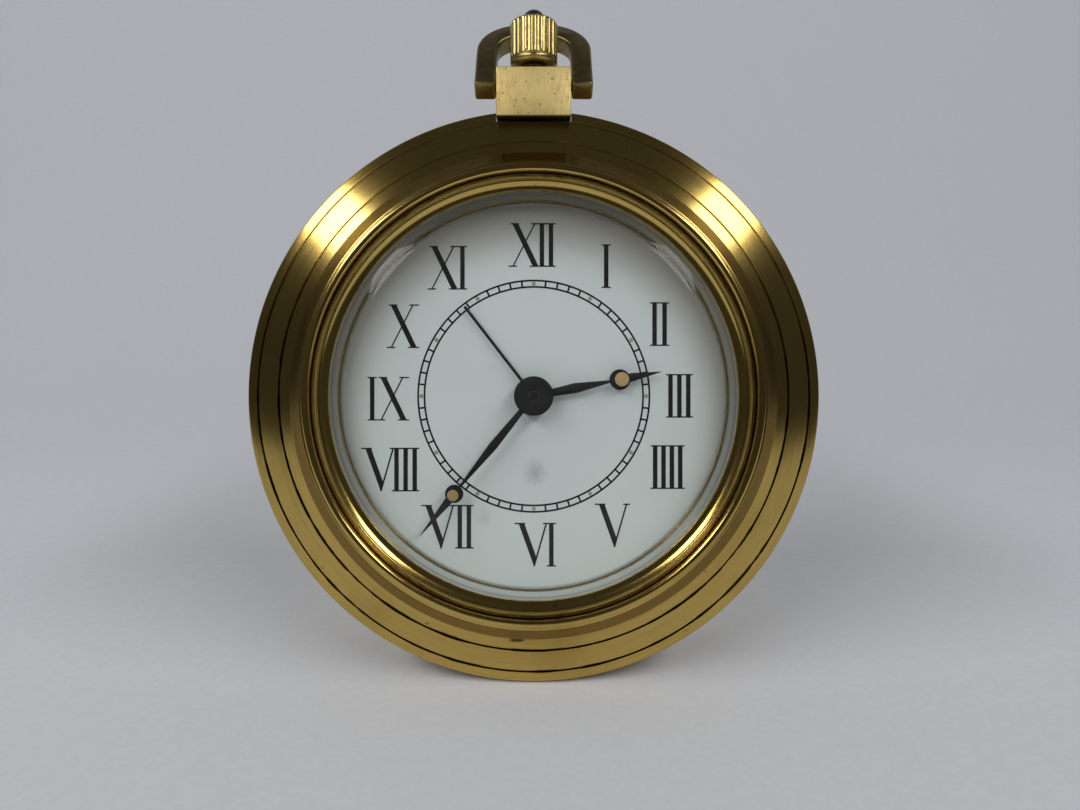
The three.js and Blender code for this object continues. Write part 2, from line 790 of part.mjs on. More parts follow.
function makeCaseBody() {
  const arcRadius = bodyRadius - bodyCornerRadius;
  const arcLevel = bodyCornerRadius - bodyDepth;
  const profile = [
    [bodyRadius, bodyFront],
    ...cornerArc(bodyCornerRadius, arcRadius, arcLevel, 3),
    [bodyOpeningRadius, -bodyDepth],
    [bodyOpeningRadius, bodyWall - bodyDepth],
    ...cornerArc(bodyCornerRadius - bodyWall, arcRadius, arcLevel, 3).reverse(),
    [bodyRadius - bodyWall, bodyFront],
    [bodyRadius, bodyFront],
  ];
  const hole = rod(studRadius + runningGap, studBottom, neckBottom, middleFacets);
  hole.rotateX(-Math.PI / 2).translate(0, 0, crownAxis);
  add('case_body', cut(turned(profile, largeFacets), hole), 'brass');
}

function makeBackCover() {
  const holes = [
    ...pillars.map((pillar) => ({ ...pillar, radius: coverScrewRadius + runningGap })),
    { ...timeBarrel, radius: windingArborRadius + seatGap },
    { ...alarmBarrel, radius: windingArborRadius + seatGap },
    { ...centre, radius: centreArborRadius + seatGap },
    { ...alarmSet, radius: alarmSetArborRadius + seatGap },
  ];
  add('back_cover', drilledDisc(coverRadius, largeFacets, holes, coverBack, coverFront), 'brass');
}

function makeCoverScrews() {
  pillars.forEach((pillar, i) => {
    const profile = [
      [0, outsideLevel - screwHeadHeight],
      [screwHeadRadius, outsideLevel - screwHeadHeight],
      [screwHeadRadius, outsideLevel],
      [coverScrewRadius, outsideLevel],
      [coverScrewRadius, coverFront + coverScrewLength],
      [0, coverFront + coverScrewLength],
    ];
    const face = outsideLevel - screwHeadHeight;
    const slot = block(
      -screwHeadRadius, screwHeadRadius, -screwSlotWidth / 2, screwSlotWidth / 2,
      face - cutMargin, face + screwSlotDepth);
    add(`cover_screw_${i + 1}`, cut(turned(profile, tinyFacets), slot), 'steel', pillar);
  });
}

// Neck block, stud, crown, stem and cap share the upright axis through the block.
function upright(geometry) {
  return geometry.rotateX(-Math.PI / 2).translate(0, 0, crownAxis);
}

function makeNeck() {
  const half = neckWidth / 2;
  const body = block(-half, half, neckBottom, neckTop, neckFront - neckDepth, neckFront);
  const counterbore = upright(rod(
    studRadius + runningGap, neckBottom - cutMargin, studTop + seatGap, smallFacets));
  const bore = upright(rod(stemRadius + runningGap, neckBottom, neckTop + cutMargin, smallFacets));
  const sockets = [-1, 1].map((side) => {
    const socket = rod(
      bowPinRadius + runningGap, half - bowPinDepth - seatGap, half + cutMargin, smallFacets);
    return socket.rotateY((side * Math.PI) / 2).translate(0, bowPivot.y, bowPivot.z);
  });
  add('neck_block', cut(body, counterbore, bore, ...sockets), 'brass');
}

function makeNeckStud() {
  const inner = stemRadius + runningGap;
  const profile = [
    [inner, studBottom],
    [studCollarRadius, studBottom],
    [studCollarRadius, studBottom + studNutHeight],
    [studRadius, studBottom + studNutHeight],
    [studRadius, bodyRadius + seatGap],
    [studCollarRadius, bodyRadius + seatGap],
    [studCollarRadius, neckBottom - seatGap],
    [studRadius, neckBottom - seatGap],
    [studRadius, studTop],
    [inner, studTop],
    [inner, studBottom],
  ];
  add('neck_stud', upright(turned(profile, smallFacets)), 'brass');
}

function makeCrown() {
  const bore = stemRadius + runningGap;
  const beadTop = crownCollarHeight + crownBeadHeight;
  const shoulder = crownHeight - crownTopSlope;
  const seat = capRadius + runningGap;
  const profile = [
    [bore, 0],
    [crownCollarRadius, 0],
    [crownCollarRadius, crownCollarHeight],
    [(crownCollarRadius + crownRadius) / 2, crownCollarHeight + crownBeadHeight * 0.13],
    [crownRadius * 0.97, crownCollarHeight + crownBeadHeight * 0.5],
    [crownRadius, beadTop],
    [crownRadius, shoulder],
    [crownTopRadius, crownHeight],
    [seat, crownHeight],
    [seat, crownHeight - capSeatDepth],
    [0, crownHeight - capSeatDepth],
    [0, stemEngagement + seatGap],
    [bore, stemEngagement + seatGap],
    [bore, 0],
  ];
  const body = turned(profile, crownRibs * 2);
  const geometry = ribbed(
    body, crownRibs, crownRibDepth, beadTop - joinDepth, crownHeight - joinDepth, crownTopRadius * 0.9);
  geometry.translate(0, 0, crownBottom);
  add('crown', upright(geometry), 'brass');
}

function makeCrownCap() {
  const bottom = crownBottom + crownHeight - capSeatDepth + seatGap / 2;
  const top = crownTop;
  const profile = [
    [0, bottom],
    [capRadius, bottom],
    [capRadius, top - capHeight * 0.85],
    [capRadius * 0.91, top - capHeight * 0.5],
    [capRadius * 0.65, top - capHeight * 0.2],
    [capRadius * 0.34, top - capHeight * 0.045],
    [0, top],
  ];
  add('crown_cap', upright(turned(profile, smallFacets)), 'blackPaint');
}

function makeCrownStem() {
  const geometry = rod(stemRadius, stemBottom, crownBottom + stemEngagement, smallFacets);
  add('crown_stem', upright(geometry), 'steel');
}

// Bow: a flat D-shaped stirrup drawn upright from its pivot, then leaned back.
function bowOutline(halfWidth, reach, cornerRadius, bottom, shape) {
  shape.moveTo(-halfWidth, -bottom);
  shape.lineTo(-halfWidth, reach - cornerRadius);
  shape.absarc(-halfWidth + cornerRadius, reach - cornerRadius, cornerRadius, Math.PI, Math.PI / 2, true);
  shape.absarc(halfWidth - cornerRadius, reach - cornerRadius, cornerRadius, Math.PI / 2, 0, true);
  shape.lineTo(halfWidth, -bottom);
}

function makeBow() {
  const outer = new THREE.Shape();
  bowOutline(bowHalfWidth, bowReach, bowCornerRadius, bowEnd, outer);
  const inner = new THREE.Shape();
  bowOutline(
    bowHalfWidth - bowBar, bowReach - bowBar, bowCornerRadius - bowBar, bowEnd + cutMargin, inner);
  const bar = (shape, thickness) => closed(new THREE.ExtrudeGeometry(
    shape, { depth: thickness, bevelEnabled: false, curveSegments: bowSteps })
    .translate(0, 0, -thickness / 2));
  const bore = alongX(rod(
    bowPinRadius + runningGap, -bowHalfWidth - cutMargin, bowHalfWidth + cutMargin, smallFacets));
  const geometry = cut(bar(outer, bowThickness), bar(inner, bowThickness * 2), bore);
  const mesh = add('bow', geometry, 'darkBrass', bowPivot);
  mesh.rotation.x = -radians(bowAngle);
}

function makeBowPins() {
  for (const [name, side] of [['left', -1], ['right', 1]]) {
    const pin = rod(bowPinRadius, neckWidth / 2 - bowPinDepth, bowHalfWidth, smallFacets);
    pin.rotateY((side * Math.PI) / 2);
    add(`bow_pin_${name}`, pin, 'darkBrass', bowPivot);
  }
}

// Stand: a bracket on the cover, a hinge pin along x and a strut whose foot is cut level.
const hingeDepth = coverBack - seatGap - bracketThickness - knuckleRadius * 0.5;
const hingePlace = { y: standPlace, z: hingeDepth };
const strutOpening = strutAngle + leanAngle;

function alongX(geometry) {
  return geometry.rotateY(Math.PI / 2);
}

function floorBelowHinge() {
  const lean = radians(leanAngle);
  const flatRadius = rimRadius * Math.cos(Math.PI / rimFacets);
  const floor = -flatRadius * Math.cos(lean) + rimBack * Math.sin(lean);
  return standPlace * Math.cos(lean) + hingeDepth * Math.sin(lean) - floor;
}

function makeStrut() {
  const drop = floorBelowHinge();
  const length = drop / Math.cos(radians(strutAngle));
  const half = strutTopWidth / 2;
  const foot = strutFootWidth / 2;
  const extra = strutThickness * 2;
  const outline = new THREE.Shape([
    new THREE.Vector2(-half, 0),
    new THREE.Vector2(-half, -knuckleRadius * 2),
    new THREE.Vector2(-foot, -length * 0.9),
    new THREE.Vector2(-foot, -length - extra),
    new THREE.Vector2(foot, -length - extra),
    new THREE.Vector2(foot, -length * 0.9),
    new THREE.Vector2(half, -knuckleRadius * 2),
    new THREE.Vector2(half, 0),
  ]);
  const blade = plate(outline, -strutThickness / 2, strutThickness / 2);
  const knuckle = alongX(rod(knuckleRadius, -half, half, smallFacets));
  const bore = alongX(rod(
    hingePinRadius + runningGap, -half - cutMargin, half + cutMargin, smallFacets));
  const size = length * 4;
  const floor = block(-size, size, -size, size, -drop - size, -drop);
  floor.rotateX(-radians(90 - leanAngle + strutOpening));
  const mesh = add('strut', cut(join(blade, knuckle), bore, floor), 'brass', hingePlace);
  mesh.rotation.x = radians(strutOpening);
}

const bracketInner = strutTopWidth / 2 + seatGap;
const bracketOuter = bracketInner + knuckleLength;

function makeStandBracket() {
  const top = coverBack - seatGap - hingeDepth;
  const base = block(
    -bracketOuter, bracketOuter, knuckleRadius + seatGap, bracketReach, top - bracketThickness, top);
  const ears = [-1, 1].flatMap((side) => {
    const [x0, x1] = side < 0 ? [-bracketOuter, -bracketInner] : [bracketInner, bracketOuter];
    const web = block(x0, x1, 0, knuckleRadius + seatGap * 2, top - bracketThickness, top);
    return [web, alongX(rod(knuckleRadius, x0, x1, smallFacets))];
  });
  const bore = alongX(rod(
    hingePinRadius + runningGap, -bracketOuter - cutMargin, bracketOuter + cutMargin, smallFacets));
  add('stand_bracket', cut(join(base, ...ears), bore), 'brass', hingePlace);
}

function makeHingePin() {
  const pin = alongX(rod(hingePinRadius, -bracketOuter, bracketOuter, smallFacets));
  add('hinge_pin', pin, 'steel', hingePlace);
}

// Movement frame: two plates, three pillars between them and three posts behind them.
function plateHoles(isFront) {
  const pivots = [third, fourth, escape, pallet, balance, verge, hammer]
    .map((place) => ({ ...place, radius: pivotRadius + runningGap }));
  const shared = [
    ...pivots,
    { ...timeBarrel, radius: windingArborRadius + runningGap },
    { ...alarmBarrel, radius: windingArborRadius + runningGap },
    { ...centre, radius: centreArborRadius + runningGap },
    { ...alarmSet, radius: alarmSetArborRadius + runningGap },
    ...pillars.map((place) => ({ ...place, radius: pillarTenonRadius + runningGap })),
  ];
  if (!isFront) return shared;
  return [
    ...shared,
    ...dialFeet.map((place) => ({ ...place, radius: dialTenonRadius + runningGap })),
    { ...minuteArbor, radius: pivotRadius + runningGap },
    { ...leverPivot, radius: arborRadius + runningGap },
  ];
}

function makePlates() {
  const front = drilledDisc(
    plateRadius, largeFacets, plateHoles(true), frontPlateBack, frontPlateFace);
  add('front_plate', front, 'brass');
  const back = drilledDisc(
    plateRadius, largeFacets, plateHoles(false), backPlateBack, backPlateFront);
  add('back_plate', back, 'brass');
}

function makePillars() {
  const bottom = backPlateFront + seatGap;
  const top = frontPlateBack - seatGap;
  const bore = pillarTenonRadius + runningGap;
  const boreTop = bottom + tenonEngagement + tenonRoom;
  pillars.forEach((pillar, i) => {
    const profile = [
      [bore, bottom],
      [pillarRadius, bottom],
      [pillarRadius, top],
      [pillarTenonRadius, top],
      [pillarTenonRadius, frontPlateFace],
      [0, frontPlateFace],
      [0, boreTop],
      [bore, boreTop],
      [bore, bottom],
    ];
    add(`pillar_${i + 1}`, turned(profile, tinyFacets), 'brass', pillar);
  });
}

function makeCoverPosts() {
  const bottom = coverFront + seatGap;
  const top = backPlateBack - seatGap;
  const bore = coverScrewRadius + runningGap;
  const boreTop = coverFront + coverScrewLength + seatGap;
  const tenonTop = backPlateFront + seatGap + tenonEngagement;
  pillars.forEach((pillar, i) => {
    const profile = [
      [bore, bottom],
      [pillarRadius, bottom],
      [pillarRadius, top],
      [pillarTenonRadius, top],
      [pillarTenonRadius, tenonTop],
      [0, tenonTop],
      [0, boreTop],
      [bore, boreTop],
      [bore, bottom],
    ];
    add(`cover_post_${i + 1}`, turned(profile, tinyFacets), 'steel', pillar);
  });
}

// Barrels: a great wheel with a drum, a coiled mainspring and a winding arbor with its key.
function makeBarrel(side, place, drumEnd) {
  const wheel = gear(
    greatTeeth, greatModule, wheelTooth, windingArborRadius + runningGap, greatBack, greatLevel);
  const drumRadius = rootRadius(greatTeeth, greatModule, wheelTooth) - drumInset;
  const drum = tube(
    drumRadius - drumWall, drumRadius, drumEnd, greatBack + greatThickness / 2, middleFacets);
  add(`${side}_barrel`, join(wheel, drum), 'brass', place);

  const springTop = greatBack - seatGap;
  const springBottom = drumEnd + seatGap;
  const inner = barrelCoreRadius + seatGap + springThickness / 2;
  const outer = (drumRadius - drumWall) * Math.cos(Math.PI / middleFacets) - seatGap
    - springThickness / 2;
  const spring = spiral(
    inner, outer, springTurns, springThickness, springSteps, springBottom, springTop);
  add(`${side}_mainspring`, spring, 'blueSteel', place);

  const arborEnd = outsideLevel - keyBoreDepth;
  const profile = [
    [0, arborEnd],
    [windingArborRadius, arborEnd],
    [windingArborRadius, springBottom],
    [barrelCoreRadius, springBottom],
    [barrelCoreRadius, springTop],
    [windingArborRadius, springTop],
    [windingArborRadius, frontPlateFace],
    [0, frontPlateFace],
  ];
  add(`${side}_arbor`, turned(profile, tinyFacets), 'steel', place);
  add(`${side}_key`, makeKey(arborEnd), 'brass', place);
}

function makeKey(arborEnd) {
  const bottom = outsideLevel - keyHubHeight;
  const hub = rod(keyHubRadius, bottom, outsideLevel, middleFacets);
  const half = keyWidth / 2;
  const corner = keyCornerRadius;
  const outline = new THREE.Shape();
  outline.moveTo(-keyHubRadius, 0);
  outline.lineTo(-half, -corner);
  outline.absarc(-half + corner, corner - keyDepth - corner, corner, Math.PI, Math.PI * 1.5, false);
  outline.lineTo(half - corner, -keyDepth - corner);
  outline.absarc(half - corner, corner - keyDepth - corner, corner, Math.PI * 1.5, Math.PI * 2, false);
  outline.lineTo(half, -corner);
  outline.lineTo(keyHubRadius, 0);
  const wings = closed(new THREE.ExtrudeGeometry(
    outline, { depth: keyThickness, bevelEnabled: false, curveSegments: keySteps }));
  wings.translate(0, 0, -keyThickness / 2).rotateX(Math.PI / 2);
  wings.translate(0, 0, bottom + keyWingRise);
  const bore = rod(
    windingArborRadius + runningGap, arborEnd - seatGap, outsideLevel + cutMargin, smallFacets);
  return cut(join(hub, wings), bore);
}

function makeKnob(name, radius, height, shaftRadius, place) {
  const bottom = outsideLevel - height;
  const bore = shaftRadius + runningGap;
  const boreEnd = outsideLevel - knobBoreDepth;
  const profile = [
    [0, bottom],
    [radius * 0.86, bottom],
    [radius, bottom + height * 0.15],
    [radius, outsideLevel - height * 0.3],
    [radius * 0.6, outsideLevel - height * 0.2],
    [radius * 0.6, outsideLevel],
    [bore, outsideLevel],
    [bore, boreEnd],
    [0, boreEnd],
  ];
  const body = turned(profile, knobRibs * 2);
  const ribs = ribbed(
    body, knobRibs, knobRibDepth, bottom - cutMargin, outsideLevel - height * 0.25, radius * 0.7);
  add(name, ribs, 'brass', place);
}

// Going train: each arbor carries a pinion at one level and its wheel at another.
function arborProfile(radius) {
  const shoulder = seatGap;
  return [
    [0, backPlateBack],
    [pivotRadius, backPlateBack],
    [pivotRadius, backPlateFront + shoulder],
    [radius, backPlateFront + shoulder],
    [radius, frontPlateBack - shoulder],
    [pivotRadius, frontPlateBack - shoulder],
    [pivotRadius, frontPlateFace],
    [0, frontPlateFace],
  ];
}

function pinionAt(teeth, module, level) {
  return gear(teeth, module, pinionTooth, 0, level - pinionLength / 2, level + pinionLength / 2);
}

function wheelAt(teeth, module, level) {
  const half = wheelThickness / 2;
  return gear(teeth, module, wheelTooth, 0, level - half, level + half);
}

function makeCentreWheel() {
  const bore = centreArborRadius + runningGap;
  const outer = bore + pipeWall;
  const top = frontPlateBack - seatGap;
  const bottom = centreWheelLevel - wheelThickness / 2;
  const pipe = rod(outer, bottom, top, smallFacets);
  const parts = join(
    pipe, wheelAt(centreTeeth, centreModule, centreWheelLevel),
    gear(centrePinionTeeth, greatModule, pinionTooth, 0, greatBack - greatPinionMargin, top));
  const hole = rod(bore, bottom - cutMargin, top + cutMargin, smallFacets);
  add('centre_wheel', cut(parts, hole), 'brass', { ...centre, turn: centrePhase });
}

function makeTrainWheel(name, place, phase, pinionModule, pinionLevel, wheel) {
  const arbor = turned(arborProfile(arborRadius), tinyFacets);
  const pinion = pinionAt(trainPinionTeeth, pinionModule, pinionLevel);
  add(name, join(arbor, pinion, wheel), 'brass', { ...place, turn: phase });
}

// Motion work under the dial: pipes stand one inside another and carry the hands.
function makeCentreArbor() {
  const end = outsideLevel - knobBoreDepth + seatGap;
  const profile = [
    [0, end],
    [centreArborRadius, end],
    [centreArborRadius, frontPlateFace],
    [handArborRadius, frontPlateFace],
    [handArborRadius, minuteHandBack + arborTipHeight],
    [0, minuteHandBack + arborTipHeight],
  ];
  add('centre_arbor', turned(profile, smallFacets), 'steel');
}

function makePipedWheel(name, outline, level, pipeNumber, pipeEnd, phase) {
  const bore = pipeRadius(pipeNumber - 1);
  const outer = bore + pipeWall;
  const bottom = level - wheelThickness / 2;
  const pipe = rod(outer, bottom, pipeEnd, smallFacets);
  const hole = rod(bore, bottom - cutMargin, pipeEnd + cutMargin, smallFacets);
  add(name, cut(join(outline, pipe), hole), 'brass', { turn: phase });
}

function makeMotionWork() {
  const cannon = gear(
    cannonTeeth, minuteModule, pinionTooth, 0,
    cannonLevel - wheelThickness / 2, cannonLevel + wheelThickness / 2);
  makePipedWheel(
    'cannon_pinion', cannon, cannonLevel, minutePipe, minuteHandBack + handThickness, 0);
  const hourWheel = wheelAt(hourTeeth, hourModule, hourLevel);
  makePipedWheel(
    'hour_wheel', hourWheel, hourLevel, hourPipe, hourHandBack + handThickness, hourPhase);
  const alarmWheel = wheelAt(alarmTeeth, alarmModule, alarmLevel);
  makePipedWheel(
    'alarm_wheel', alarmWheel, alarmLevel, alarmPipe, alarmHandBack + handThickness, 0);

  const top = hourLevel + wheelThickness / 2;
  const arbor = rod(pivotRadius, frontPlateBack, top, tinyFacets);
  const wheel = wheelAt(minuteTeeth, minuteModule, cannonLevel);
  const pinion = gear(
    minutePinionTeeth, hourModule, pinionTooth, 0, cannonLevel, top);
  add('minute_wheel', join(arbor, wheel, pinion), 'brass', { ...minuteArbor, turn: minutePhase });
}

function makeAlarmSetArbor() {
  const end = outsideLevel - knobBoreDepth + seatGap;
  const arbor = rod(alarmSetArborRadius, end, alarmLevel, smallFacets);
  const half = pinionLength * 0.4;
  const pinion = gear(
    alarmSetTeeth, alarmModule, pinionTooth, 0, alarmLevel - half, alarmLevel + half);
  add('alarm_set_arbor', join(arbor, pinion), 'steel', { ...alarmSet, turn: alarmSetPhase });
}

// Escapements: a pointed wheel and a rocking anchor with two pallets just outside the teeth.
function pointedWheel(teeth, radius, level) {
  const half = wheelThickness / 2;
  const shape = toothed(teeth, radius * (1 - toothDepthShare), radius, 0.44, 0);
  return plate(shape, level - half, level + half);
}

function anchor(wheelRadius, wheelTeeth, distance, level, lineDirection) {
  const half = wheelThickness / 2;
  const halfAngle = ((palletSpan / 2) * 2 * Math.PI) / wheelTeeth;
  const inner = wheelRadius + palletClearance;
  const parts = [-1, 1].flatMap((side) => {
    const stone = block(0, palletLength, -palletWidth / 2, palletWidth / 2, level - half, level + half);
    stone.translate(inner, 0, 0).rotateZ(side * halfAngle).translate(-distance, 0, 0);
    const stoneX = (inner + palletLength * 0.7) * Math.cos(halfAngle) - distance;
    const stoneY = side * (inner + palletLength * 0.7) * Math.sin(halfAngle);
    const reach = Math.hypot(stoneX, stoneY);
    const arm = block(
      0, reach, -palletArmWidth / 2, palletArmWidth / 2, level - half, level + half);
    arm.rotateZ(Math.atan2(stoneY, stoneX));
    return [stone, arm];
  });
  const hub = rod(palletHubRadius, level - half, level + half, smallFacets);
  return join(hub, ...parts).rotateZ(radians(lineDirection));
}

function makeEscapement() {
  makeTrainWheel(
    'escape_wheel', escape, escapePhase, fourthModule, fourthWheelLevel,
    pointedWheel(escapeTeeth, escapeRadius, escapeWheelLevel)
      .rotateZ(radians(escapeLineDirection) - escapePhase));
  const half = wheelThickness / 2;
  const forkLength = balanceDistance - rollerPinPlace - rollerPinRadius - forkGap;
  const fork = block(
    0, forkLength, -forkWidth / 2, forkWidth / 2, escapeWheelLevel - half, escapeWheelLevel + half);
  const slot = block(
    forkLength - forkSlotDepth, forkLength + cutMargin, -forkSlotWidth / 2, forkSlotWidth / 2,
    escapeWheelLevel - cutMargin, escapeWheelLevel + cutMargin);
  const arm = cut(fork, slot).rotateZ(radians(balanceDirection));
  const stones = anchor(
    escapeRadius, escapeTeeth, palletDistance, escapeWheelLevel, escapeLineDirection);
  const arbor = turned(arborProfile(palletArborRadius), tinyFacets);
  add('pallet_fork', join(arbor, stones, arm), 'steel', pallet);
}

function makeBalance() {
  const half = balanceRimHeight / 2;
  const rim = tube(
    balanceRadius - balanceRimWidth, balanceRadius, balanceLevel - half, balanceLevel + half,
    middleFacets);
  const reach = balanceRadius - balanceRimWidth / 2;
  const arms = block(
    -reach, reach, -balanceArmWidth / 2, balanceArmWidth / 2, balanceLevel - half, balanceLevel + half);
  const staff = turned(arborProfile(arborRadius), tinyFacets);
  const rollerLevel = escapeWheelLevel - rollerDrop;
  const roller = rod(rollerRadius, rollerLevel - half, rollerLevel + half, smallFacets);
  const pin = rod(rollerPinRadius, rollerLevel, escapeWheelLevel + half, tinyFacets);
  const towardFork = radians(balanceDirection) + Math.PI;
  pin.translate(rollerPinPlace * Math.cos(towardFork), rollerPinPlace * Math.sin(towardFork), 0);
  add('balance_wheel', join(rim, arms, staff, roller, pin), 'brass', balance);

  const springBottom = centreWheelLevel + hairspringRise - hairspringHeight / 2;
  const inner = arborRadius + seatGap + hairspringThickness / 2;
  const spring = spiral(
    inner, hairspringRadius, hairspringTurns, hairspringThickness, springSteps,
    springBottom, springBottom + hairspringHeight);
  add('hairspring', spring, 'blueSteel', balance);

  const bottom = backPlateFront + regulatorGap;
  const top = bottom + regulatorThickness;
  const lever = block(
    0, regulatorLength, -regulatorWidth / 2, regulatorWidth / 2, bottom, top);
  const hub = rod(regulatorHubRadius, bottom, top, smallFacets);
  const hole = rod(arborRadius + runningGap, bottom - cutMargin, top + cutMargin, smallFacets);
  const angle = Math.atan2(balance.y, balance.x);
  add('regulator', cut(join(lever, hub), hole), 'steel', { ...balance, turn: angle });
}

// Alarm: the verge wheel rocks the hammer, whose head strikes the case wall.
function makeAlarmTrain() {
  const arbor = turned(arborProfile(arborRadius), tinyFacets);
  const pinion = gear(
    vergePinionTeeth, greatModule, pinionTooth, 0,
    greatBack - greatPinionMargin, greatLevel + greatPinionMargin);
  const wheel = pointedWheel(vergeTeeth, vergeRadius, vergeWheelLevel)
    .rotateZ(radians(vergeLineDirection) - vergePhase);
  add('verge_wheel', join(arbor, pinion, wheel), 'brass', { ...verge, turn: vergePhase });

  const stones = anchor(
    vergeRadius, vergeTeeth, hammerDistance, vergeWheelLevel, vergeLineDirection);
  const half = wheelThickness / 2;
  const hammerReach = reachToCircle(
    hammer, hammerDirection, bodyInnerRadius - hammerWallGap - hammerHeadRadius);
  const arm = block(
    0, hammerReach, -hammerArmWidth / 2, hammerArmWidth / 2,
    vergeWheelLevel - half, vergeWheelLevel + half);
  const head = rod(
    hammerHeadRadius, vergeWheelLevel - hammerHeadLength / 2, vergeWheelLevel + hammerHeadLength / 2,
    smallFacets).translate(hammerReach, 0, 0);
  const striker = join(arm, head).rotateZ(radians(hammerDirection));
  const staff = turned(arborProfile(arborRadius), tinyFacets);
  add('alarm_hammer', join(staff, stones, striker), 'steel', hammer);
}

// Alarm stop lever: a tab lies under the stem and a finger beside the hammer's arm.
function makeStopLever() {
  const back = dialBack - leverDialGap;
  const front = back + leverThickness;
  const half = leverWidth / 2;
  const arm = (place) => {
    const x = place.x - leverPivot.x;
    const y = place.y - leverPivot.y;
    return block(0, Math.hypot(x, y), -half, half, back, front).rotateZ(Math.atan2(y, x));
  };
  const tabTop = stemBottom - seatGap;
  const tab = block(
    -stemRadius, stemRadius, tabTop - leverTabHeight, tabTop, back, crownAxis + leverTabReach);
  tab.translate(-leverPivot.x, -leverPivot.y, 0);
  const size = leverFingerSize / 2;
  const side = hammerArmWidth / 2 + leverFingerRoom + size;
  const beside = stepFrom(hammer, side, hammerDirection - 90);
  const fingerRadius = plateRadius + leverFingerGap;
  const fingerPlace = stepFrom(
    beside, reachToCircle(beside, hammerDirection, fingerRadius), hammerDirection);
  const finger = block(-size, size, -size * 2, size * 2, vergeWheelLevel - leverFingerEnd, front);
  finger.translate(fingerPlace.x - leverPivot.x, fingerPlace.y - leverPivot.y, 0);
  const post = rod(arborRadius * 2, frontPlateFace + seatGap, back + joinDepth, smallFacets);
  const pivot = rod(arborRadius, frontPlateBack, back + joinDepth, smallFacets);
  const tabPlace = { x: 0, y: tabTop - leverTabHeight / 2 };
  const geometry = join(arm(tabPlace), arm(fingerPlace), tab, finger, post, pivot);
  add('alarm_stop_lever', geometry, 'steel', leverPivot);
}

makeBezel();
makeCrystal();
makeCrystalRing();
makeDial();
makeLuminousHand(
  'minute', minuteHandSize, minuteAngle, minuteHandBack, pipeRadius(minutePipe), minuteBossHeight);
makeLuminousHand(
  'hour', hourHandSize, hourAngle, hourHandBack, pipeRadius(hourPipe), handThickness);
makeAlarmHand();
makeCaseBody();
makeBackCover();
makeCoverScrews();
makeNeck();
makeNeckStud();
makeCrown();
makeCrownCap();
makeCrownStem();
makeBow();
makeBowPins();
makeStandBracket();
makeStrut();
makeHingePin();
makePlates();
makePillars();
makeCoverPosts();
makeBarrel('time', timeBarrel, timeDrumEnd);
makeBarrel('alarm', alarmBarrel, alarmDrumEnd);
makeKnob('hand_knob', handKnobRadius, handKnobHeight, centreArborRadius, centre);
makeKnob('alarm_knob', alarmKnobRadius, alarmKnobHeight, alarmSetArborRadius, alarmSet);
makeCentreWheel();
makeTrainWheel(
  'third_wheel', third, thirdPhase, centreModule, centreWheelLevel,
  wheelAt(thirdTeeth, thirdModule, thirdWheelLevel));
makeTrainWheel(
  'fourth_wheel', fourth, fourthPhase, thirdModule, thirdWheelLevel,
  wheelAt(fourthTeeth, fourthModule, fourthWheelLevel));
makeEscapement();
makeBalance();
makeCentreArbor();
makeMotionWork();
makeAlarmSetArbor();
makeAlarmTrain();
makeStopLever();

// The origin is the middle of the bottom of the finished clock's box.
const stage = new THREE.Group();
stage.add(clock);
stage.updateMatrixWorld(true);
const bounds = new THREE.Box3().setFromObject(stage, true);
clock.position.set(
  -(bounds.min.x + bounds.max.x) / 2, -(bounds.min.y + bounds.max.y) / 2, -bounds.min.z);

export default stage;
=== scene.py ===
"""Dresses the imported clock: turned brass, printed dial, clear crystal, studio floor and light.

The clock's own frame has +X right, +Y up the dial and +Z toward the reader, with its origin on the
hands' axis at the front of the rim. Sizes in it are in millimetres, as in the part's source.
"""

import json
import math

import bmesh
import bpy
from mathutils import Matrix, Vector


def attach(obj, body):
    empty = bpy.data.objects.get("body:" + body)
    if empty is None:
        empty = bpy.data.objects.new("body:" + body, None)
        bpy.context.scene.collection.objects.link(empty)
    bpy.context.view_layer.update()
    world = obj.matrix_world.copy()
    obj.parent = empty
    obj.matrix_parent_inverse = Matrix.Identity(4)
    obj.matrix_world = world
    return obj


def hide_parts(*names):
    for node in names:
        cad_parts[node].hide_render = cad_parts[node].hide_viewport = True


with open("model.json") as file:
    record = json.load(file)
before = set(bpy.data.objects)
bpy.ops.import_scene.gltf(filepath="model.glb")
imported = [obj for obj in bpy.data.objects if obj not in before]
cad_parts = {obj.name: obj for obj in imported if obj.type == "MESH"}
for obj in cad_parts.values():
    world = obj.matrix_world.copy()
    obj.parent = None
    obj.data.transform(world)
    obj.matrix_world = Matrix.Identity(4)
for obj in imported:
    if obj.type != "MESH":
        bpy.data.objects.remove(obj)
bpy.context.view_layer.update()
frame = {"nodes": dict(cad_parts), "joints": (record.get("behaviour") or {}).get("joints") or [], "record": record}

MM = 0.001
# In degrees: edges sharper than these stay sharp, or are bevelled.
CREASE, CAD_CREASE, BEVEL_CREASE = 32, 28, 30
nodes = frame["nodes"]
joints = {joint["name"]: joint for joint in frame["joints"]}

toward_reader = Vector(joints["hand_setting"]["axis"]).normalized()
across = Vector((1, 0, 0))
clock = Matrix((across, toward_reader.cross(across), toward_reader)).transposed().to_4x4()
clock.translation = Vector(joints["hand_setting"]["pos_m"])


def place(x=0.0, y=0.0, z=0.0, turn=0.0, tilt=0.0):
    """A place in the clock's frame: millimetres, then degrees about its z and x axes."""
    return (
        clock
        @ Matrix.Translation((x * MM, y * MM, z * MM))
        @ Matrix.Rotation(math.radians(turn), 4, "Z")
        @ Matrix.Rotation(math.radians(tilt), 4, "X")
    )


def joint_place(name):
    """Where a joint's axis stands, in the clock's frame, in millimetres."""
    return clock.inverted() @ Vector(joints[name]["pos_m"]) / MM


# Shapes. Each maker returns (corners in millimetres, faces).


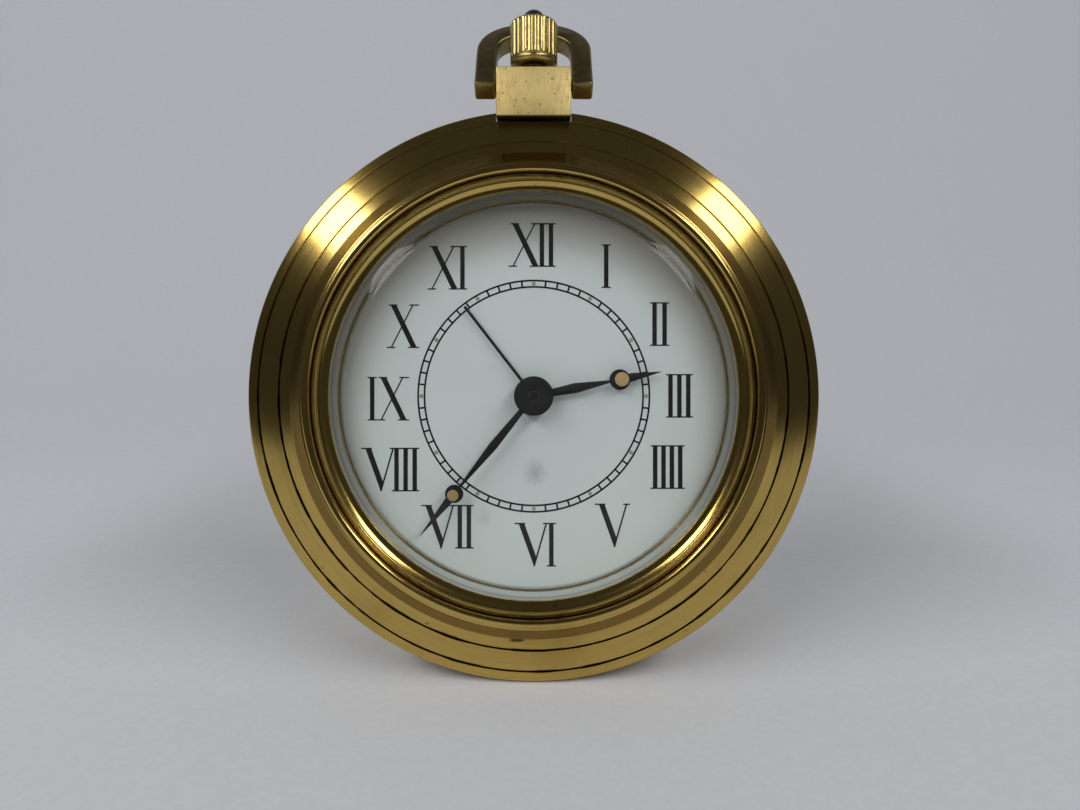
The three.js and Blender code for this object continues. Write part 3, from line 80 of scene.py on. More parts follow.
def fillet(corners, steps=4):
    """Rounds each (r, z, radius) corner of a closed outline; a corner without a radius stays."""
    nearly_half = 0.48
    rounded = []
    for i, corner in enumerate(corners):
        here = Vector(corner[:2])
        size = corner[2] if len(corner) > 2 else 0
        if size == 0:
            rounded.append(here)
            continue
        before = Vector(corners[i - 1][:2]) - here
        after = Vector(corners[(i + 1) % len(corners)][:2]) - here
        reach = min(size, before.length * nearly_half, after.length * nearly_half)
        start, end = here + before.normalized() * reach, here + after.normalized() * reach
        for step in range(steps + 1):
            share = step / steps
            rounded.append(
                start * (1 - share) ** 2 + here * 2 * share * (1 - share) + end * share**2
            )
    return [(point.x, point.y) for point in rounded]


def arc(centre_x, centre_y, radius, start, end, steps):
    """Points along an arc, angles in degrees."""
    points = []
    for step in range(steps + 1):
        angle = math.radians(start + (end - start) * step / steps)
        points.append((centre_x + radius * math.cos(angle), centre_y + radius * math.sin(angle)))
    return points


def lathe(profile, segments=160, ripple=None):
    """A closed profile of (r, z) turned about z. ripple(radius, z, angle) may change the radius."""
    corners, faces = [], []
    count = len(profile)
    for column in range(segments):
        angle = 2 * math.pi * column / segments
        for radius, level in profile:
            r = ripple(radius, level, angle) if ripple else radius
            corners.append((r * math.cos(angle), r * math.sin(angle), level))
    for column in range(segments):
        following = (column + 1) % segments
        for row in range(count):
            below = (row + 1) % count
            faces.append(
                (
                    column * count + row,
                    column * count + below,
                    following * count + below,
                    following * count + row,
                )
            )
    return corners, faces


def rod(radius, bottom, top, edge=0.1, segments=48):
    """A round bar along z with rounded ends."""
    profile = [(0, bottom), (radius, bottom, edge), (radius, top, edge), (0, top)]
    return lathe(fillet(profile), segments)


def prism(outline, bottom, top):
    """An outline of (x, y) points given thickness."""
    count = len(outline)
    corners = [(x, y, bottom) for x, y in outline] + [(x, y, top) for x, y in outline]
    sides = [(i, (i + 1) % count, count + (i + 1) % count, count + i) for i in range(count)]
    return corners, [tuple(reversed(range(count))), tuple(range(count, 2 * count)), *sides]


def box(x0, x1, y0, y1, z0, z1):
    """A block between two places along each axis."""
    return prism([(x0, y0), (x1, y0), (x1, y1), (x0, y1)], z0, z1)


def together(*shapes):
    """Several shapes as one."""
    corners, faces = [], []
    for shape_corners, shape_faces in shapes:
        start = len(corners)
        corners += shape_corners
        faces += [tuple(start + i for i in face) for face in shape_faces]
    return corners, faces


def moved(shape, matrix):
    """A shape turned and shifted by a matrix, in millimetres."""
    corners, faces = shape
    return [tuple(matrix @ Vector(corner)) for corner in corners], faces


def turned_about_z(degrees):
    return Matrix.Rotation(math.radians(degrees), 4, "Z")


def smooth_by_angle(mesh, degrees=CREASE):
    """Smooth shading, with edges sharper than an angle kept sharp."""
    mesh.polygons.foreach_set("use_smooth", [True] * len(mesh.polygons))
    mesh.set_sharp_from_angle(angle=math.radians(degrees))


def add(name, shape, material, where, bevel=0.0, bevel_steps=2):
    """Makes an object from a shape, with its sharp edges rounded by bevel millimetres.

    The corners are moved to their place, so the object itself stays at the origin.
    """
    corners, faces = shape
    mesh = bpy.data.meshes.new(name)
    mesh.from_pydata([where @ (Vector(corner) * MM) for corner in corners], [], faces)
    work = bmesh.new()
    work.from_mesh(mesh)
    bmesh.ops.remove_doubles(work, verts=work.verts, dist=1e-7)
    bmesh.ops.recalc_face_normals(work, faces=work.faces)
    if bevel:
        sharp = [
            edge
            for edge in work.edges
            if len(edge.link_faces) == 2 and edge.calc_face_angle() > math.radians(BEVEL_CREASE)
        ]
        bmesh.ops.bevel(
            work,
            geom=sharp,
            offset=bevel * MM,
            segments=bevel_steps,
            profile=0.5,
            affect="EDGES",
            clamp_overlap=True,
        )
    work.to_mesh(mesh)
    work.free()
    smooth_by_angle(mesh)
    made = bpy.data.objects.new(name, mesh)
    bpy.context.scene.collection.objects.link(made)
    mesh.materials.append(material)
    return made


def carve(made, *cutters):
    """Cuts the cutters out of an object and removes them."""
    for cutter in cutters:
        step = made.modifiers.new("carve", "BOOLEAN")
        step.object = cutter
        step.solver = "EXACT"
    bpy.context.view_layer.update()
    carved = bpy.data.meshes.new_from_object(
        made.evaluated_get(bpy.context.evaluated_depsgraph_get())
    )
    made.modifiers.clear()
    made.data = carved
    smooth_by_angle(carved)
    for cutter in cutters:
        bpy.data.objects.remove(cutter)


def dress(made, body, slot, *stands_for):
    """Puts a piece on a body and hides the CAD nodes that it replaces. The slot is not used."""
    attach(made, body)
    if stands_for:
        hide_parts(*stands_for)


# Materials. Scales of noise are in cycles per metre.
# Turning marks: how fine they are, how far they drift round the axis, and how much depth counts.
RING_SCALE, RING_DRIFT, RING_DEPTH = 9000.0, 1.6, 0.7
BLOTCH_EDGE = 1.4


class Wiring:
    """A node tree that is built from short calls. An input named i and a number goes by its place."""

    def __init__(self, tree):
        self.tree = tree

    def node(self, kind, settings=None, **inputs):
        """A new node, with its settings, and its inputs set or linked."""
        made = self.tree.nodes.new("ShaderNode" + kind)
        for key, value in (settings or {}).items():
            setattr(made, key, value)
        for key, value in inputs.items():
            self.put(made, key, value)
        return made

    def put(self, made, key, value):
        """Sets or links one input of a node."""
        name = key.replace("_", " ")
        socket = made.inputs[int(key[1:])] if key[1:].isdigit() else made.inputs[name]
        if isinstance(value, bpy.types.NodeSocket):
            self.tree.links.new(value, socket)
        else:
            socket.default_value = value

    def math(self, operation, *values, clamp=False):
        inputs = {f"i{i}": value for i, value in enumerate(values)}
        return self.node(
            "Math", {"operation": operation, "use_clamp": clamp}, **inputs
        ).outputs[0]

    def seen_by_ray(self, first, second):
        """1 for two kinds of ray, and 0 for the others."""
        rays = self.node("LightPath").outputs
        return self.math("MAXIMUM", rays[f"Is {first} Ray"], rays[f"Is {second} Ray"])


class Finish(Wiring):
    """A node material for one kind of surface."""

    def __init__(self, name):
        self.material = bpy.data.materials.new(name)
        self.material.use_nodes = True
        super().__init__(self.material.node_tree)
        self.shader = self.tree.nodes["Principled BSDF"]

    def set(self, **inputs):
        """Sets or links inputs of the main shader."""
        for key, value in inputs.items():
            self.put(self.shader, key, value)

    def blend(self, share, other):
        """Shows another shader instead, by a share from 0 to 1."""
        both = self.node("MixShader", i0=share, i1=self.shader.outputs[0], i2=other.outputs[0])
        self.tree.links.new(both.outputs[0], self.tree.nodes["Material Output"].inputs["Surface"])

    def here(self):
        """The place on the piece in the clock's frame, in metres."""
        return self.node(
            "Mapping",
            {"vector_type": "TEXTURE"},
            Vector=self.node("TexCoord").outputs["Object"],
            Location=clock.translation,
            Rotation=clock.to_euler(),
        ).outputs[0]

    def noise(self, vector, scale, detail=3.0, roughness=0.55):
        return self.node(
            "TexNoise", Vector=vector, Scale=scale, Detail=detail, Roughness=roughness
        ).outputs["Fac"]

    def ramp(self, value, low, high, start=0.0, end=1.0):
        """Maps low..high smoothly to start..end."""
        return self.node(
            "MapRange",
            {"interpolation_type": "SMOOTHSTEP"},
            Value=value,
            i1=low,
            i2=high,
            i3=start,
            i4=end,
        ).outputs[0]

    def mix(self, share, first, second):
        return self.node("Mix", {"data_type": "RGBA"}, i0=share, i6=first, i7=second).outputs[2]

    def vector(self, operation, *values):
        inputs = {f"i{i}": value for i, value in enumerate(values)}
        return self.node("VectorMath", {"operation": operation}, **inputs).outputs[0]

    def length(self, vector):
        """The length of a vector, as a number."""
        return self.node("VectorMath", {"operation": "LENGTH"}, i0=vector).outputs["Value"]

    def split(self, vector):
        """A vector's x, y and z."""
        return tuple(self.node("SeparateXYZ", Vector=vector).outputs)

    def bump(self, height, strength, distance):
        return self.node("Bump", Height=height, Strength=strength, Distance=distance).outputs[0]

    def polar(self):
        """(distance from the z axis, a vector that follows turning marks round it)."""
        x, y, z = self.split(self.here())
        flat = self.node("CombineXYZ", i0=x, i1=y).outputs[0]
        radius = self.length(flat)
        unit_x, unit_y, _ = self.split(self.vector("NORMALIZE", flat))
        lines = self.math("MULTIPLY_ADD", z, RING_DEPTH, radius)
        around = self.node(
            "CombineXYZ",
            i0=self.math("MULTIPLY", lines, RING_SCALE),
            i1=self.math("MULTIPLY", unit_x, RING_DRIFT),
            i2=self.math("MULTIPLY", unit_y, RING_DRIFT),
        ).outputs[0]
        return radius, around

    def round_axis(self):
        """The direction that runs round the clock's axis."""
        away = self.vector(
            "SUBTRACT", self.node("TexCoord").outputs["Object"], clock.translation
        )
        return self.vector("CROSS_PRODUCT", toward_reader, away)

    def blotch(self, x, y, width, height, softness=0.6):
        """1 inside an oval at a place in the clock's frame, in millimetres, falling to 0 at its edge."""
        right, up, _ = self.split(self.here())
        across_share = self.math("DIVIDE", self.math("SUBTRACT", right, x * MM), width * MM / 2)
        up_share = self.math("DIVIDE", self.math("SUBTRACT", up, y * MM), height * MM / 2)
        away = self.math(
            "SQRT",
            self.math(
                "ADD",
                self.math("MULTIPLY", across_share, across_share),
                self.math("MULTIPLY", up_share, up_share),
            ),
        )
        ragged = self.math(
            "MULTIPLY_ADD", self.noise(self.here(), 1600.0, 3.0, 0.6), 0.8, away
        )
        return self.ramp(ragged, BLOTCH_EDGE - softness, BLOTCH_EDGE, 1.0, 0.0)


def rgb(red, green, blue):
    return (red, green, blue, 1.0)


BRASS = rgb(0.62, 0.43, 0.125)
BRASS_DARK = rgb(0.30, 0.185, 0.035)
DIRT = rgb(0.03, 0.02, 0.006)
BROWN_STAIN = rgb(0.10, 0.055, 0.015)
# The near black of painted shade on undersides.
PAINTED_SHADE = rgb(0.035, 0.024, 0.008)
GREY_STAIN = rgb(0.20, 0.21, 0.20)
GROOVES = (38.3, 35.0)
DIRT_NEAR, DIRT_FAR = 0.10 * MM, 0.22 * MM
BAND_INNER, BAND_OUTER, BAND_RISE = 31.75, 33.3, 1.15
BAND_BLUR = 0.05


def turned_brass(name, colour, tarnish, roughness, grooves=(), stains=(), polished=0.0, band=None):
    """Brass turned on a lathe, with fine rings, soft tarnish, small spots and dirt in its grooves.

    It is polished within one radius. A band, given by two radii, stands steeper by a rise, and its colour is
    painted darker as shade, for the dark floor under the clock that a steep face reflects.
    """
    finish = Finish(name)
    radius, around = finish.polar()
    rings = finish.noise(around, 1.0, 4.0, 0.6)
    cloud = finish.noise(finish.here(), 55.0, 4.0, 0.6)
    speck = finish.noise(finish.here(), 900.0, 2.0, 0.5)
    worn = finish.math(
        "ADD", finish.ramp(cloud, 0.42, 0.72, 0.0, 0.35), finish.ramp(rings, 0.45, 0.75, 0.0, 0.25)
    )
    worn = finish.math("ADD", worn, finish.ramp(speck, 0.70, 0.76, 0.0, 0.5), clamp=True)
    shade = finish.mix(worn, colour, tarnish)
    # Dirt in the grooves is darker towards the bottom of the dial, and its edges are ragged.
    up = finish.split(finish.here())[1]
    darker_downwards = finish.ramp(up, -10 * MM, 30 * MM, 1.0, 0.45)
    ragged = finish.ramp(finish.noise(finish.here(), 160.0, 3.0, 0.7), 0.35, 0.65, 0.65, 1.35)
    for groove in grooves:
        away = finish.math("ABSOLUTE", finish.math("SUBTRACT", radius, groove * MM))
        dirt = finish.ramp(finish.math("MULTIPLY", away, ragged), DIRT_NEAR, DIRT_FAR, 1.0, 0.0)
        shade = finish.mix(finish.math("MULTIPLY", dirt, darker_downwards), shade, DIRT)
    for x, y, width, height, depth in stains:
        blot = finish.math("MULTIPLY", finish.blotch(x, y, width, height), depth)
        shade = finish.mix(blot, shade, BROWN_STAIN)
    brushed = finish.ramp(radius, (polished - 0.1) * MM, (polished + 0.1) * MM)
    rough = finish.ramp(rings, 0.2, 0.8, roughness * 0.85, roughness * 1.2)
    normal = finish.bump(rings, 0.12, 0.02 * MM)
    if band:
        inner, outer, rise = band
        fall = finish.node("MapRange", Value=radius, i1=inner * MM, i2=outer * MM, i3=1.0, i4=0.0)
        normal = finish.node(
            "Bump", Height=fall.outputs[0], Strength=1.0, Distance=rise * MM, Normal=normal
        ).outputs[0]
        # Painted shade: the band's colour is mixed towards the tarnish colour, for the dark floor under the clock
        # that its steep face reflects.
        band_painted_shade = finish.math(
            "MULTIPLY",
            finish.ramp(radius, (inner - BAND_BLUR) * MM, (inner + BAND_BLUR) * MM),
            finish.ramp(radius, (outer - BAND_BLUR) * MM, (outer + BAND_BLUR) * MM, 0.45, 0.0),
        )
        shade = finish.mix(band_painted_shade, shade, tarnish)
    finish.set(
        Base_Color=shade,
        Metallic=1.0,
        Roughness=finish.math("MULTIPLY", rough, finish.ramp(brushed, 0.0, 1.0, 0.6, 1.0)),
        Anisotropic=brushed,
        Anisotropic_Rotation=0.25,
        Tangent=finish.round_axis(),
        Normal=normal,
    )
    return finish.material


def brushed_metal(name, colour, tarnish, roughness, grain, bump, pits=0.72, painted_shade_below=None):
    """Metal with a straight grain: grain gives the noise's scale along each axis.

    The last argument gives two heights, in millimetres, between which a painted shade darkens it downwards, as on
    an underside that lies in shade.
    """
    finish = Finish(name)
    lines = finish.noise(finish.vector("MULTIPLY", finish.here(), grain), 1.0, 4.0, 0.6)
    cloud = finish.noise(finish.here(), 160.0, 3.0, 0.6)
    pit = finish.noise(finish.here(), 1500.0, 2.0, 0.5)
    worn = finish.math(
        "ADD", finish.ramp(cloud, 0.45, 0.75, 0.0, 0.4), finish.ramp(lines, 0.5, 0.8, 0.0, 0.5)
    )
    worn = finish.math("ADD", worn, finish.ramp(pit, pits, pits + 0.05, 0.0, 0.7), clamp=True)
    shade = finish.mix(worn, colour, tarnish)
    # Painted shade: below the upper height the colour darkens to near black, as on an underside that lies in
    # shade.
    if painted_shade_below:
        low, high = painted_shade_below
        up = finish.split(finish.here())[1]
        shade = finish.mix(finish.ramp(up, low * MM, high * MM, 1.0, 0.0), shade, PAINTED_SHADE)
    finish.set(
        Base_Color=shade,
        Metallic=1.0,
        Roughness=finish.ramp(lines, 0.25, 0.75, roughness * 0.8, roughness * 1.25),
        Normal=finish.bump(lines, bump, 0.03 * MM),
    )
    return finish.material


def painted(
    name, colour, roughness, grain_scale=900.0, variation=0.06, gloss=0.5, stains=(), painted_lip_shadow=None
):
    """Paint with a fine grain. gloss is the specular level; stains are dull, grey ovals.

    The last argument gives a circle's height and two radii, in millimetres, and the colour of a painted shade
    outside it: the shadow of the bezel's lip on the dial.
    """
    finish = Finish(name)
    cloud = finish.noise(finish.here(), 60.0, 3.0, 0.5)
    grain = finish.noise(finish.here(), grain_scale, 3.0, 0.6)
    darker = rgb(*(value * (1 - variation * 2) for value in colour[:3]))
    shade = finish.mix(finish.ramp(cloud, 0.35, 0.7), colour, darker)
    for x, y, width, height, depth in stains:
        blot = finish.math("MULTIPLY", finish.blotch(x, y, width, height, 1.1), depth)
        shade = finish.mix(blot, shade, GREY_STAIN)
    # Painted shade: outside a circle set below the centre, the colour darkens to a warm tint, for the bezel lip's
    # shadow at the dial's top and sides.
    if painted_lip_shadow:
        height, inner, outer, painted_shade_tint = painted_lip_shadow
        right, up, _ = finish.split(finish.here())
        above = finish.math("SUBTRACT", up, height * MM)
        away = finish.length(finish.node("CombineXYZ", i0=right, i1=above).outputs[0])
        shade = finish.mix(finish.ramp(away, inner * MM, outer * MM), shade, painted_shade_tint)
    finish.set(
        Base_Color=shade,
        Specular_IOR_Level=gloss,
        Roughness=finish.ramp(grain, 0.3, 0.7, roughness * 0.9, roughness * 1.15),
        Normal=finish.bump(grain, 0.06, 0.02 * MM),
    )
    return finish.material


def clear_plastic():
    """Clear crystal that lets lamp light and the dial's own light straight through.

    Its colour is painted greyer from where it rolls over, with a darker line in its edge: painted shade in place
    of the light that the rolled edge bends.
    """
    roll_start, roll_end, painted_line_at = 25.8 * MM, 26.4 * MM, 27.6 * MM
    finish = Finish("crystal_clear")
    dust = finish.noise(finish.here(), 700.0, 3.0, 0.6)
    radius = finish.polar()[0]
    # Painted shade: the colour turns grey over the rolled edge and darker along a line in it, in place of the
    # light that the edge bends.
    edge = finish.ramp(radius, roll_start, roll_end)
    line = finish.math("ABSOLUTE", finish.math("SUBTRACT", radius, painted_line_at))
    painted_shade_tint = finish.mix(edge, rgb(0.985, 0.99, 0.985), rgb(0.78, 0.78, 0.76))
    finish.set(
        Base_Color=finish.mix(finish.ramp(line, 0.1 * MM, 0.3 * MM), rgb(0.5, 0.5, 0.49), painted_shade_tint),
        Roughness=finish.ramp(dust, 0.5, 0.8, 0.006, 0.03),
        Transmission_Weight=1.0,
        Specular_IOR_Level=0.1,
        IOR=1.28,
    )
    straight = finish.node("BsdfTransparent", Color=rgb(0.95, 0.955, 0.95))
    finish.blend(finish.seen_by_ray("Shadow", "Diffuse"), straight)
    return finish.material


# Stains are (x, y, width, height, depth).
bezel_brass = turned_brass(
    "bezel_brass",
    BRASS,
    BRASS_DARK,
    0.205,
    grooves=GROOVES,
    stains=[
        (-2.35, -33.4, 2.9, 0.8, 0.95),
        (3.0, -28.9, 0.9, 0.5, 0.7),
        (-14.6, -31.2, 0.8, 0.5, 0.6),
    ],
    polished=BAND_INNER,
    band=(BAND_INNER, BAND_OUTER, BAND_RISE),
)
case_brass = turned_brass("case_brass", rgb(0.66, 0.47, 0.17), rgb(0.36, 0.24, 0.07), 0.26)
UPRIGHT_GRAIN = (5200, 700, 5200)
plate_brass = brushed_metal(
    "plate_brass", rgb(0.62, 0.45, 0.17), rgb(0.36, 0.24, 0.08), 0.34, UPRIGHT_GRAIN, 0.08
)
neck_brass = brushed_metal(
    "neck_brass",
    rgb(0.84, 0.66, 0.29),
    rgb(0.38, 0.25, 0.07),
    0.5,
    UPRIGHT_GRAIN,
    0.35,
    pits=0.64,
    # The block's underside is darkened by a painted shade.
    painted_shade_below=(38.45, 38.8),
)
crown_brass = brushed_metal(
    "crown_brass",
    rgb(0.52, 0.41, 0.17),
    rgb(0.28, 0.2, 0.07),
    0.3,
    (900, 900, 300),
    0.02,
    # The collar under the crown is darkened by a painted shade.
    painted_shade_below=(47.0, 48.0),
)
bow_brass = brushed_metal(
    "bow_brass",
    rgb(0.25, 0.195, 0.08),
    rgb(0.11, 0.08, 0.03),
    0.36,
    (400, 1500, 400),
    0.12,
    pits=0.66,
)
key_brass = brushed_metal(
    "key_brass", rgb(0.78, 0.58, 0.24), rgb(0.42, 0.29, 0.09), 0.22, (500, 500, 1800), 0.08
)
movement_brass = brushed_metal(
    "movement_brass", rgb(0.80, 0.62, 0.28), rgb(0.50, 0.36, 0.14), 0.28, (1600, 200, 1600), 0.1
)
steel = brushed_metal(
    "steel", rgb(0.55, 0.56, 0.57), rgb(0.25, 0.25, 0.26), 0.28, (1500, 1500, 300), 0.08
)
spring_steel = brushed_metal(
    "spring_steel", rgb(0.10, 0.15, 0.30), rgb(0.06, 0.08, 0.16), 0.25, (800, 800, 800), 0.05
)
dial_white = painted(
    "dial_white",
    rgb(0.765, 0.84, 0.835),
    0.42,
    grain_scale=1400.0,
    variation=0.02,
    stains=[
        (0.2, -10.9, 4.4, 5.2, 0.45),
        (-7.0, -17.3, 3.4, 4.0, 0.16),
        (-6.0, 4.0, 2.0, 1.2, 0.1),
    ],
    # A painted shadow of the bezel's lip on the dial, darkest at the top.
    painted_lip_shadow=(-4.0, 22.0, 30.0, rgb(0.35, 0.34, 0.29)),
)
hand_black = painted("hand_black", rgb(0.004, 0.004, 0.004), 0.5, gloss=0.15)
print_black = painted("print_black", rgb(0.002, 0.002, 0.002), 0.6, gloss=0.15)
cap_black = painted("cap_black", rgb(0.014, 0.013, 0.012), 0.3)
PASTE_GRAIN = 2600.0
lume = painted("lume", rgb(0.54, 0.38, 0.175), 0.75, PASTE_GRAIN, 0.2)
lume_faint = painted("lume_faint", rgb(0.40, 0.38, 0.26), 0.6, PASTE_GRAIN, 0.1)
crystal_clear = clear_plastic()

# Bezel: rim, two fine grooves, a steep band, a bead, and a hollow slope down to the crystal.
RIM, RIM_BACK = 39.9, -1.2
CONE_SLOPE = 0.388
COLLAR, COLLAR_BACK = 34.45, -3.9
BAND_TOP, BEAD_TOP = 3.75, 4.42
LIP, LIP_BACK = 28.3, 0.7
NECK_HALF = 5.15
NECK_BOTTOM, NECK_TOP = 38.4, 45.35
NECK_BACK, NECK_FRONT = -9.6, 1.8
NECK_PLAY = 0.12
CROWN_AXIS = -4.05


def cone(radius):
    """Level of the coned face at a radius."""
    return (RIM - radius) * CONE_SLOPE


def groove(radius):
    """Corners of a groove in the coned face."""
    half, depth = 0.14, 0.22
    return [
        (radius + half, cone(radius + half), 0.03),
        (radius + half * 0.3, cone(radius) - depth, 0.03),
        (radius - half * 0.3, cone(radius) - depth, 0.03),
        (radius - half, cone(radius - half), 0.03),
    ]


bezel_profile = [
    (30.0, LIP_BACK),
    (30.0, COLLAR_BACK),
    (COLLAR, COLLAR_BACK),
    (COLLAR, RIM_BACK),
    (RIM, RIM_BACK, 0.2),
    (RIM, 0.0, 0.25),
    *groove(GROOVES[0]),
    *groove(GROOVES[1]),
    (BAND_OUTER, cone(BAND_OUTER), 0.12),
    (BAND_INNER, BAND_TOP, 0.1),
    (31.45, BAND_TOP, 0.08),
    (31.35, BEAD_TOP, 0.45),
    (30.3, BEAD_TOP, 0.4),
    (30.3, 3.35, 0.05),
    (30.2, 3.0, 0.05),
    (30.1, 3.3, 0.05),
    (29.95, 2.6),
    (29.7, 2.15),
    (29.45, 1.92),
    (29.15, 1.76),
    (28.75, 1.64),
    (LIP, 1.6, 0.15),
    (LIP, LIP_BACK, 0.1),
]
bezel = add("bezel_ring", lathe(fillet(bezel_profile, 5), 288), bezel_brass, place())
# A notch at the top of the rim takes the neck block, and a gap in the collar lets the stem through.
notch_half = NECK_HALF + NECK_PLAY
notch_box = box(-notch_half, notch_half, NECK_BOTTOM - 0.25, RIM + 1.1, -3, 3)
notch = add("notch", notch_box, bezel_brass, place())
stem_gap = add("stem_gap", box(-2.7, 2.7, 29, 36, -5, RIM_BACK - 0.05), bezel_brass, place())
carve(bezel, notch, stem_gap)
dress(bezel, "case", "bezel_brass", "bezel")

# Crystal: a dome with a rolled edge and a thin flange under the bezel's lip.
WALL, THICKNESS, DOME_RISE = 28.05, 1.2, 1.4
SEAT, SEAT_HALF = 29.7, 0.4


def dome(wall, roll, edge_level):
    """Half a section of a shallow dome that rolls over into an upright wall."""
    flat, fall = wall - roll, roll * 0.75
    points = [(flat * s, edge_level + DOME_RISE * (1 - s * s)) for s in (0, 0.25, 0.5, 0.75, 0.9)]
    for degrees in (0, 12, 24, 36, 48, 60, 72, 84, 90):
        angle = math.radians(degrees)
        points.append((flat + roll * math.sin(angle), edge_level - fall + fall * math.cos(angle)))
    return points


crystal_profile = [
    *dome(WALL, 2.1, 3.5),
    (WALL, SEAT_HALF),
    (SEAT, SEAT_HALF),
    (SEAT, -SEAT_HALF),
    (WALL - THICKNESS, -SEAT_HALF),
    *reversed(dome(WALL - THICKNESS, 1.26, 2.3)),
]
crystal = add("crystal_dome", lathe(crystal_profile, 192), crystal_clear, place())
dress(crystal, "case", "crystal", "crystal")

ring_profile = [(28.6, -2.7), (SEAT, -2.7), (SEAT, -0.7, 0.1), (28.6, -0.7, 0.1)]
ring = add("reflector_ring", lathe(fillet(ring_profile), 160), dial_white, place())
dress(ring, "case", "dial_white", "crystal_ring")

# Dial with its printed numerals, minute ring and luminous dots.
DIAL, DIAL_BACK = -3.0, -3.6
DIAL_EDGE, DIAL_HOLE = 29.5, 2.4
PRINT, PRINT_ROOT = DIAL + 0.02, DIAL - 0.01
dial_profile = [(DIAL_HOLE, DIAL_BACK), (DIAL_EDGE, DIAL_BACK), (DIAL_EDGE, DIAL), (DIAL_HOLE, DIAL)]
dial = add("dial_disc", lathe(fillet(dial_profile), 160), dial_white, place())
dress(dial, "case", "dial_white", "dial")

NUMERAL_HEIGHT = 6.24
SERIF, SERIF_REACH = 0.19, 0.66
BAR, BAR_PITCH, BAR_INSET = 0.64, 1.3, 0.62
V_WIDTH, X_WIDTH = 5.08, 4.63
# (text, x, y, width)
NUMERALS = (
    ("XII", -0.26, 21.61, 6.68),
    ("I", 10.40, 18.58, 1.42),
    ("II", 17.98, 10.31, 2.75),
    ("III", 20.81, 0.05, 3.86),
    ("IIII", 19.14, -10.13, 4.90),
    ("V", 11.24, -18.47, 5.08),
    ("VI", 0.18, -21.22, 5.89),
    ("VII", -12.37, -18.66, 7.43),
    ("VIII", -20.53, -10.49, 8.26),
    ("IX", -20.77, -0.36, 5.89),
    ("X", -18.69, 10.0, 4.63),
    ("XI", -12.38, 18.35, 5.61),
)


def stroke(x_top, x_bottom, width, low=0.0, high=1.0):
    """A slanted bar between two heights, given as shares, with level ends."""
    half = width / 2
    bottom = (low - 0.5) * NUMERAL_HEIGHT
    top = (high - 0.5) * NUMERAL_HEIGHT
    return [
        (x_bottom - half, bottom),
        (x_bottom + half, bottom),
        (x_top + half, top),
        (x_top - half, top),
    ]


def serif(x0, x1, at_top):
    """A thin level bar at the top or bottom of a letter."""
    y0 = NUMERAL_HEIGHT / 2 - SERIF if at_top else -NUMERAL_HEIGHT / 2
    return [(x0, y0), (x1, y0), (x1, y0 + SERIF), (x0, y0 + SERIF)]


def upright_bars(centres):
    shapes = [stroke(x, x, BAR) for x in centres]
    ends = (centres[0] - SERIF_REACH, centres[-1] + SERIF_REACH)
    return shapes + [serif(*ends, True), serif(*ends, False)]


def letter_v(left):
    apex = left + 0.55 * V_WIDTH
    thick, start, end = 0.82, left + 0.56, left + V_WIDTH - 0.5
    meet = thick / (end - start)
    bottom, top = -NUMERAL_HEIGHT / 2, NUMERAL_HEIGHT / 2
    return [
        [
            (apex, bottom),
            (apex + (end - apex) * meet, bottom + NUMERAL_HEIGHT * meet),
            (start + thick, top),
            (start, top),
        ],
        stroke(end, apex, 0.24),
        serif(left, left + 1.55, True),
        serif(left + V_WIDTH - 1.0, left + V_WIDTH, True),
    ]


def letter_x(left):
    return [
        stroke(left + 0.92, left + X_WIDTH - 0.72, 0.84),
        stroke(left + X_WIDTH - 0.86, left + 0.6, 0.22),
        serif(left + 0.28, left + 1.5, True),
        serif(left + X_WIDTH - 1.4, left + X_WIDTH, True),
        serif(left, left + 1.2, False),
        serif(left + X_WIDTH - 1.6, left + X_WIDTH, False),
    ]


def numeral(text, width):
    """Outlines of a Roman numeral about its own centre."""
    left, right = -width / 2, width / 2
    bars = text.count("I")
    if text == "IX":
        return upright_bars([left + BAR_INSET]) + letter_x(right - X_WIDTH)
    if bars == len(text):
        first, last = left + SERIF_REACH, right - SERIF_REACH
        steps = max(bars - 1, 1)
        return upright_bars([first + (last - first) * i / steps for i in range(bars)])
    shapes = letter_v(left) if text.startswith("V") else letter_x(left)
    if bars:
        shapes += upright_bars([right - BAR_INSET - BAR_PITCH * i for i in reversed(range(bars))])
    return shapes


numeral_shapes = []
for text, x, y, width in NUMERALS:
    for outline in numeral(text, width):
        outline = [(x + px, y + py) for px, py in outline]
        numeral_shapes.append(prism(outline, PRINT_ROOT, PRINT))
numerals = add("numerals", together(*numeral_shapes), print_black, place())
dress(numerals, "case", "hand_black")

RING_OUTER, RING_INNER, LINE = 16.53, 15.62, 0.26
tick = box(-LINE / 2, LINE / 2, RING_INNER, RING_OUTER, PRINT_ROOT, PRINT)
ticks = [moved(tick, turned_about_z(6 * i)) for i in range(60) if i % 5]
circles = []
for radius in (RING_OUTER, RING_INNER):
    inner, outer = radius - LINE / 2, radius + LINE / 2
    line = [(inner, PRINT_ROOT), (outer, PRINT_ROOT), (outer, PRINT), (inner, PRINT)]
    circles.append(lathe(line, 240))
minute_ring = add("minute_ring", together(*ticks, *circles), print_black, place())
dress(minute_ring, "case", "hand_black")

DOT = 0.3
dot_profile = [(0, PRINT_ROOT), (DOT, PRINT_ROOT), (DOT, DIAL + 0.05, 0.04), (0, DIAL + 0.06)]
dot = moved(lathe(fillet(dot_profile), 16), Matrix.Translation((0, (RING_OUTER + RING_INNER) / 2, 0)))
dots = [moved(dot, turned_about_z(30 * i)) for i in range(12)]
dress(add("dial_dots", together(*dots), lume_faint, place()), "case", "lume")

# Hands. Each is drawn along +Y and then turned to its place.
HAND_THICKNESS = 0.3
BOSS, BOSS_HOLE = 2.78, 0.7


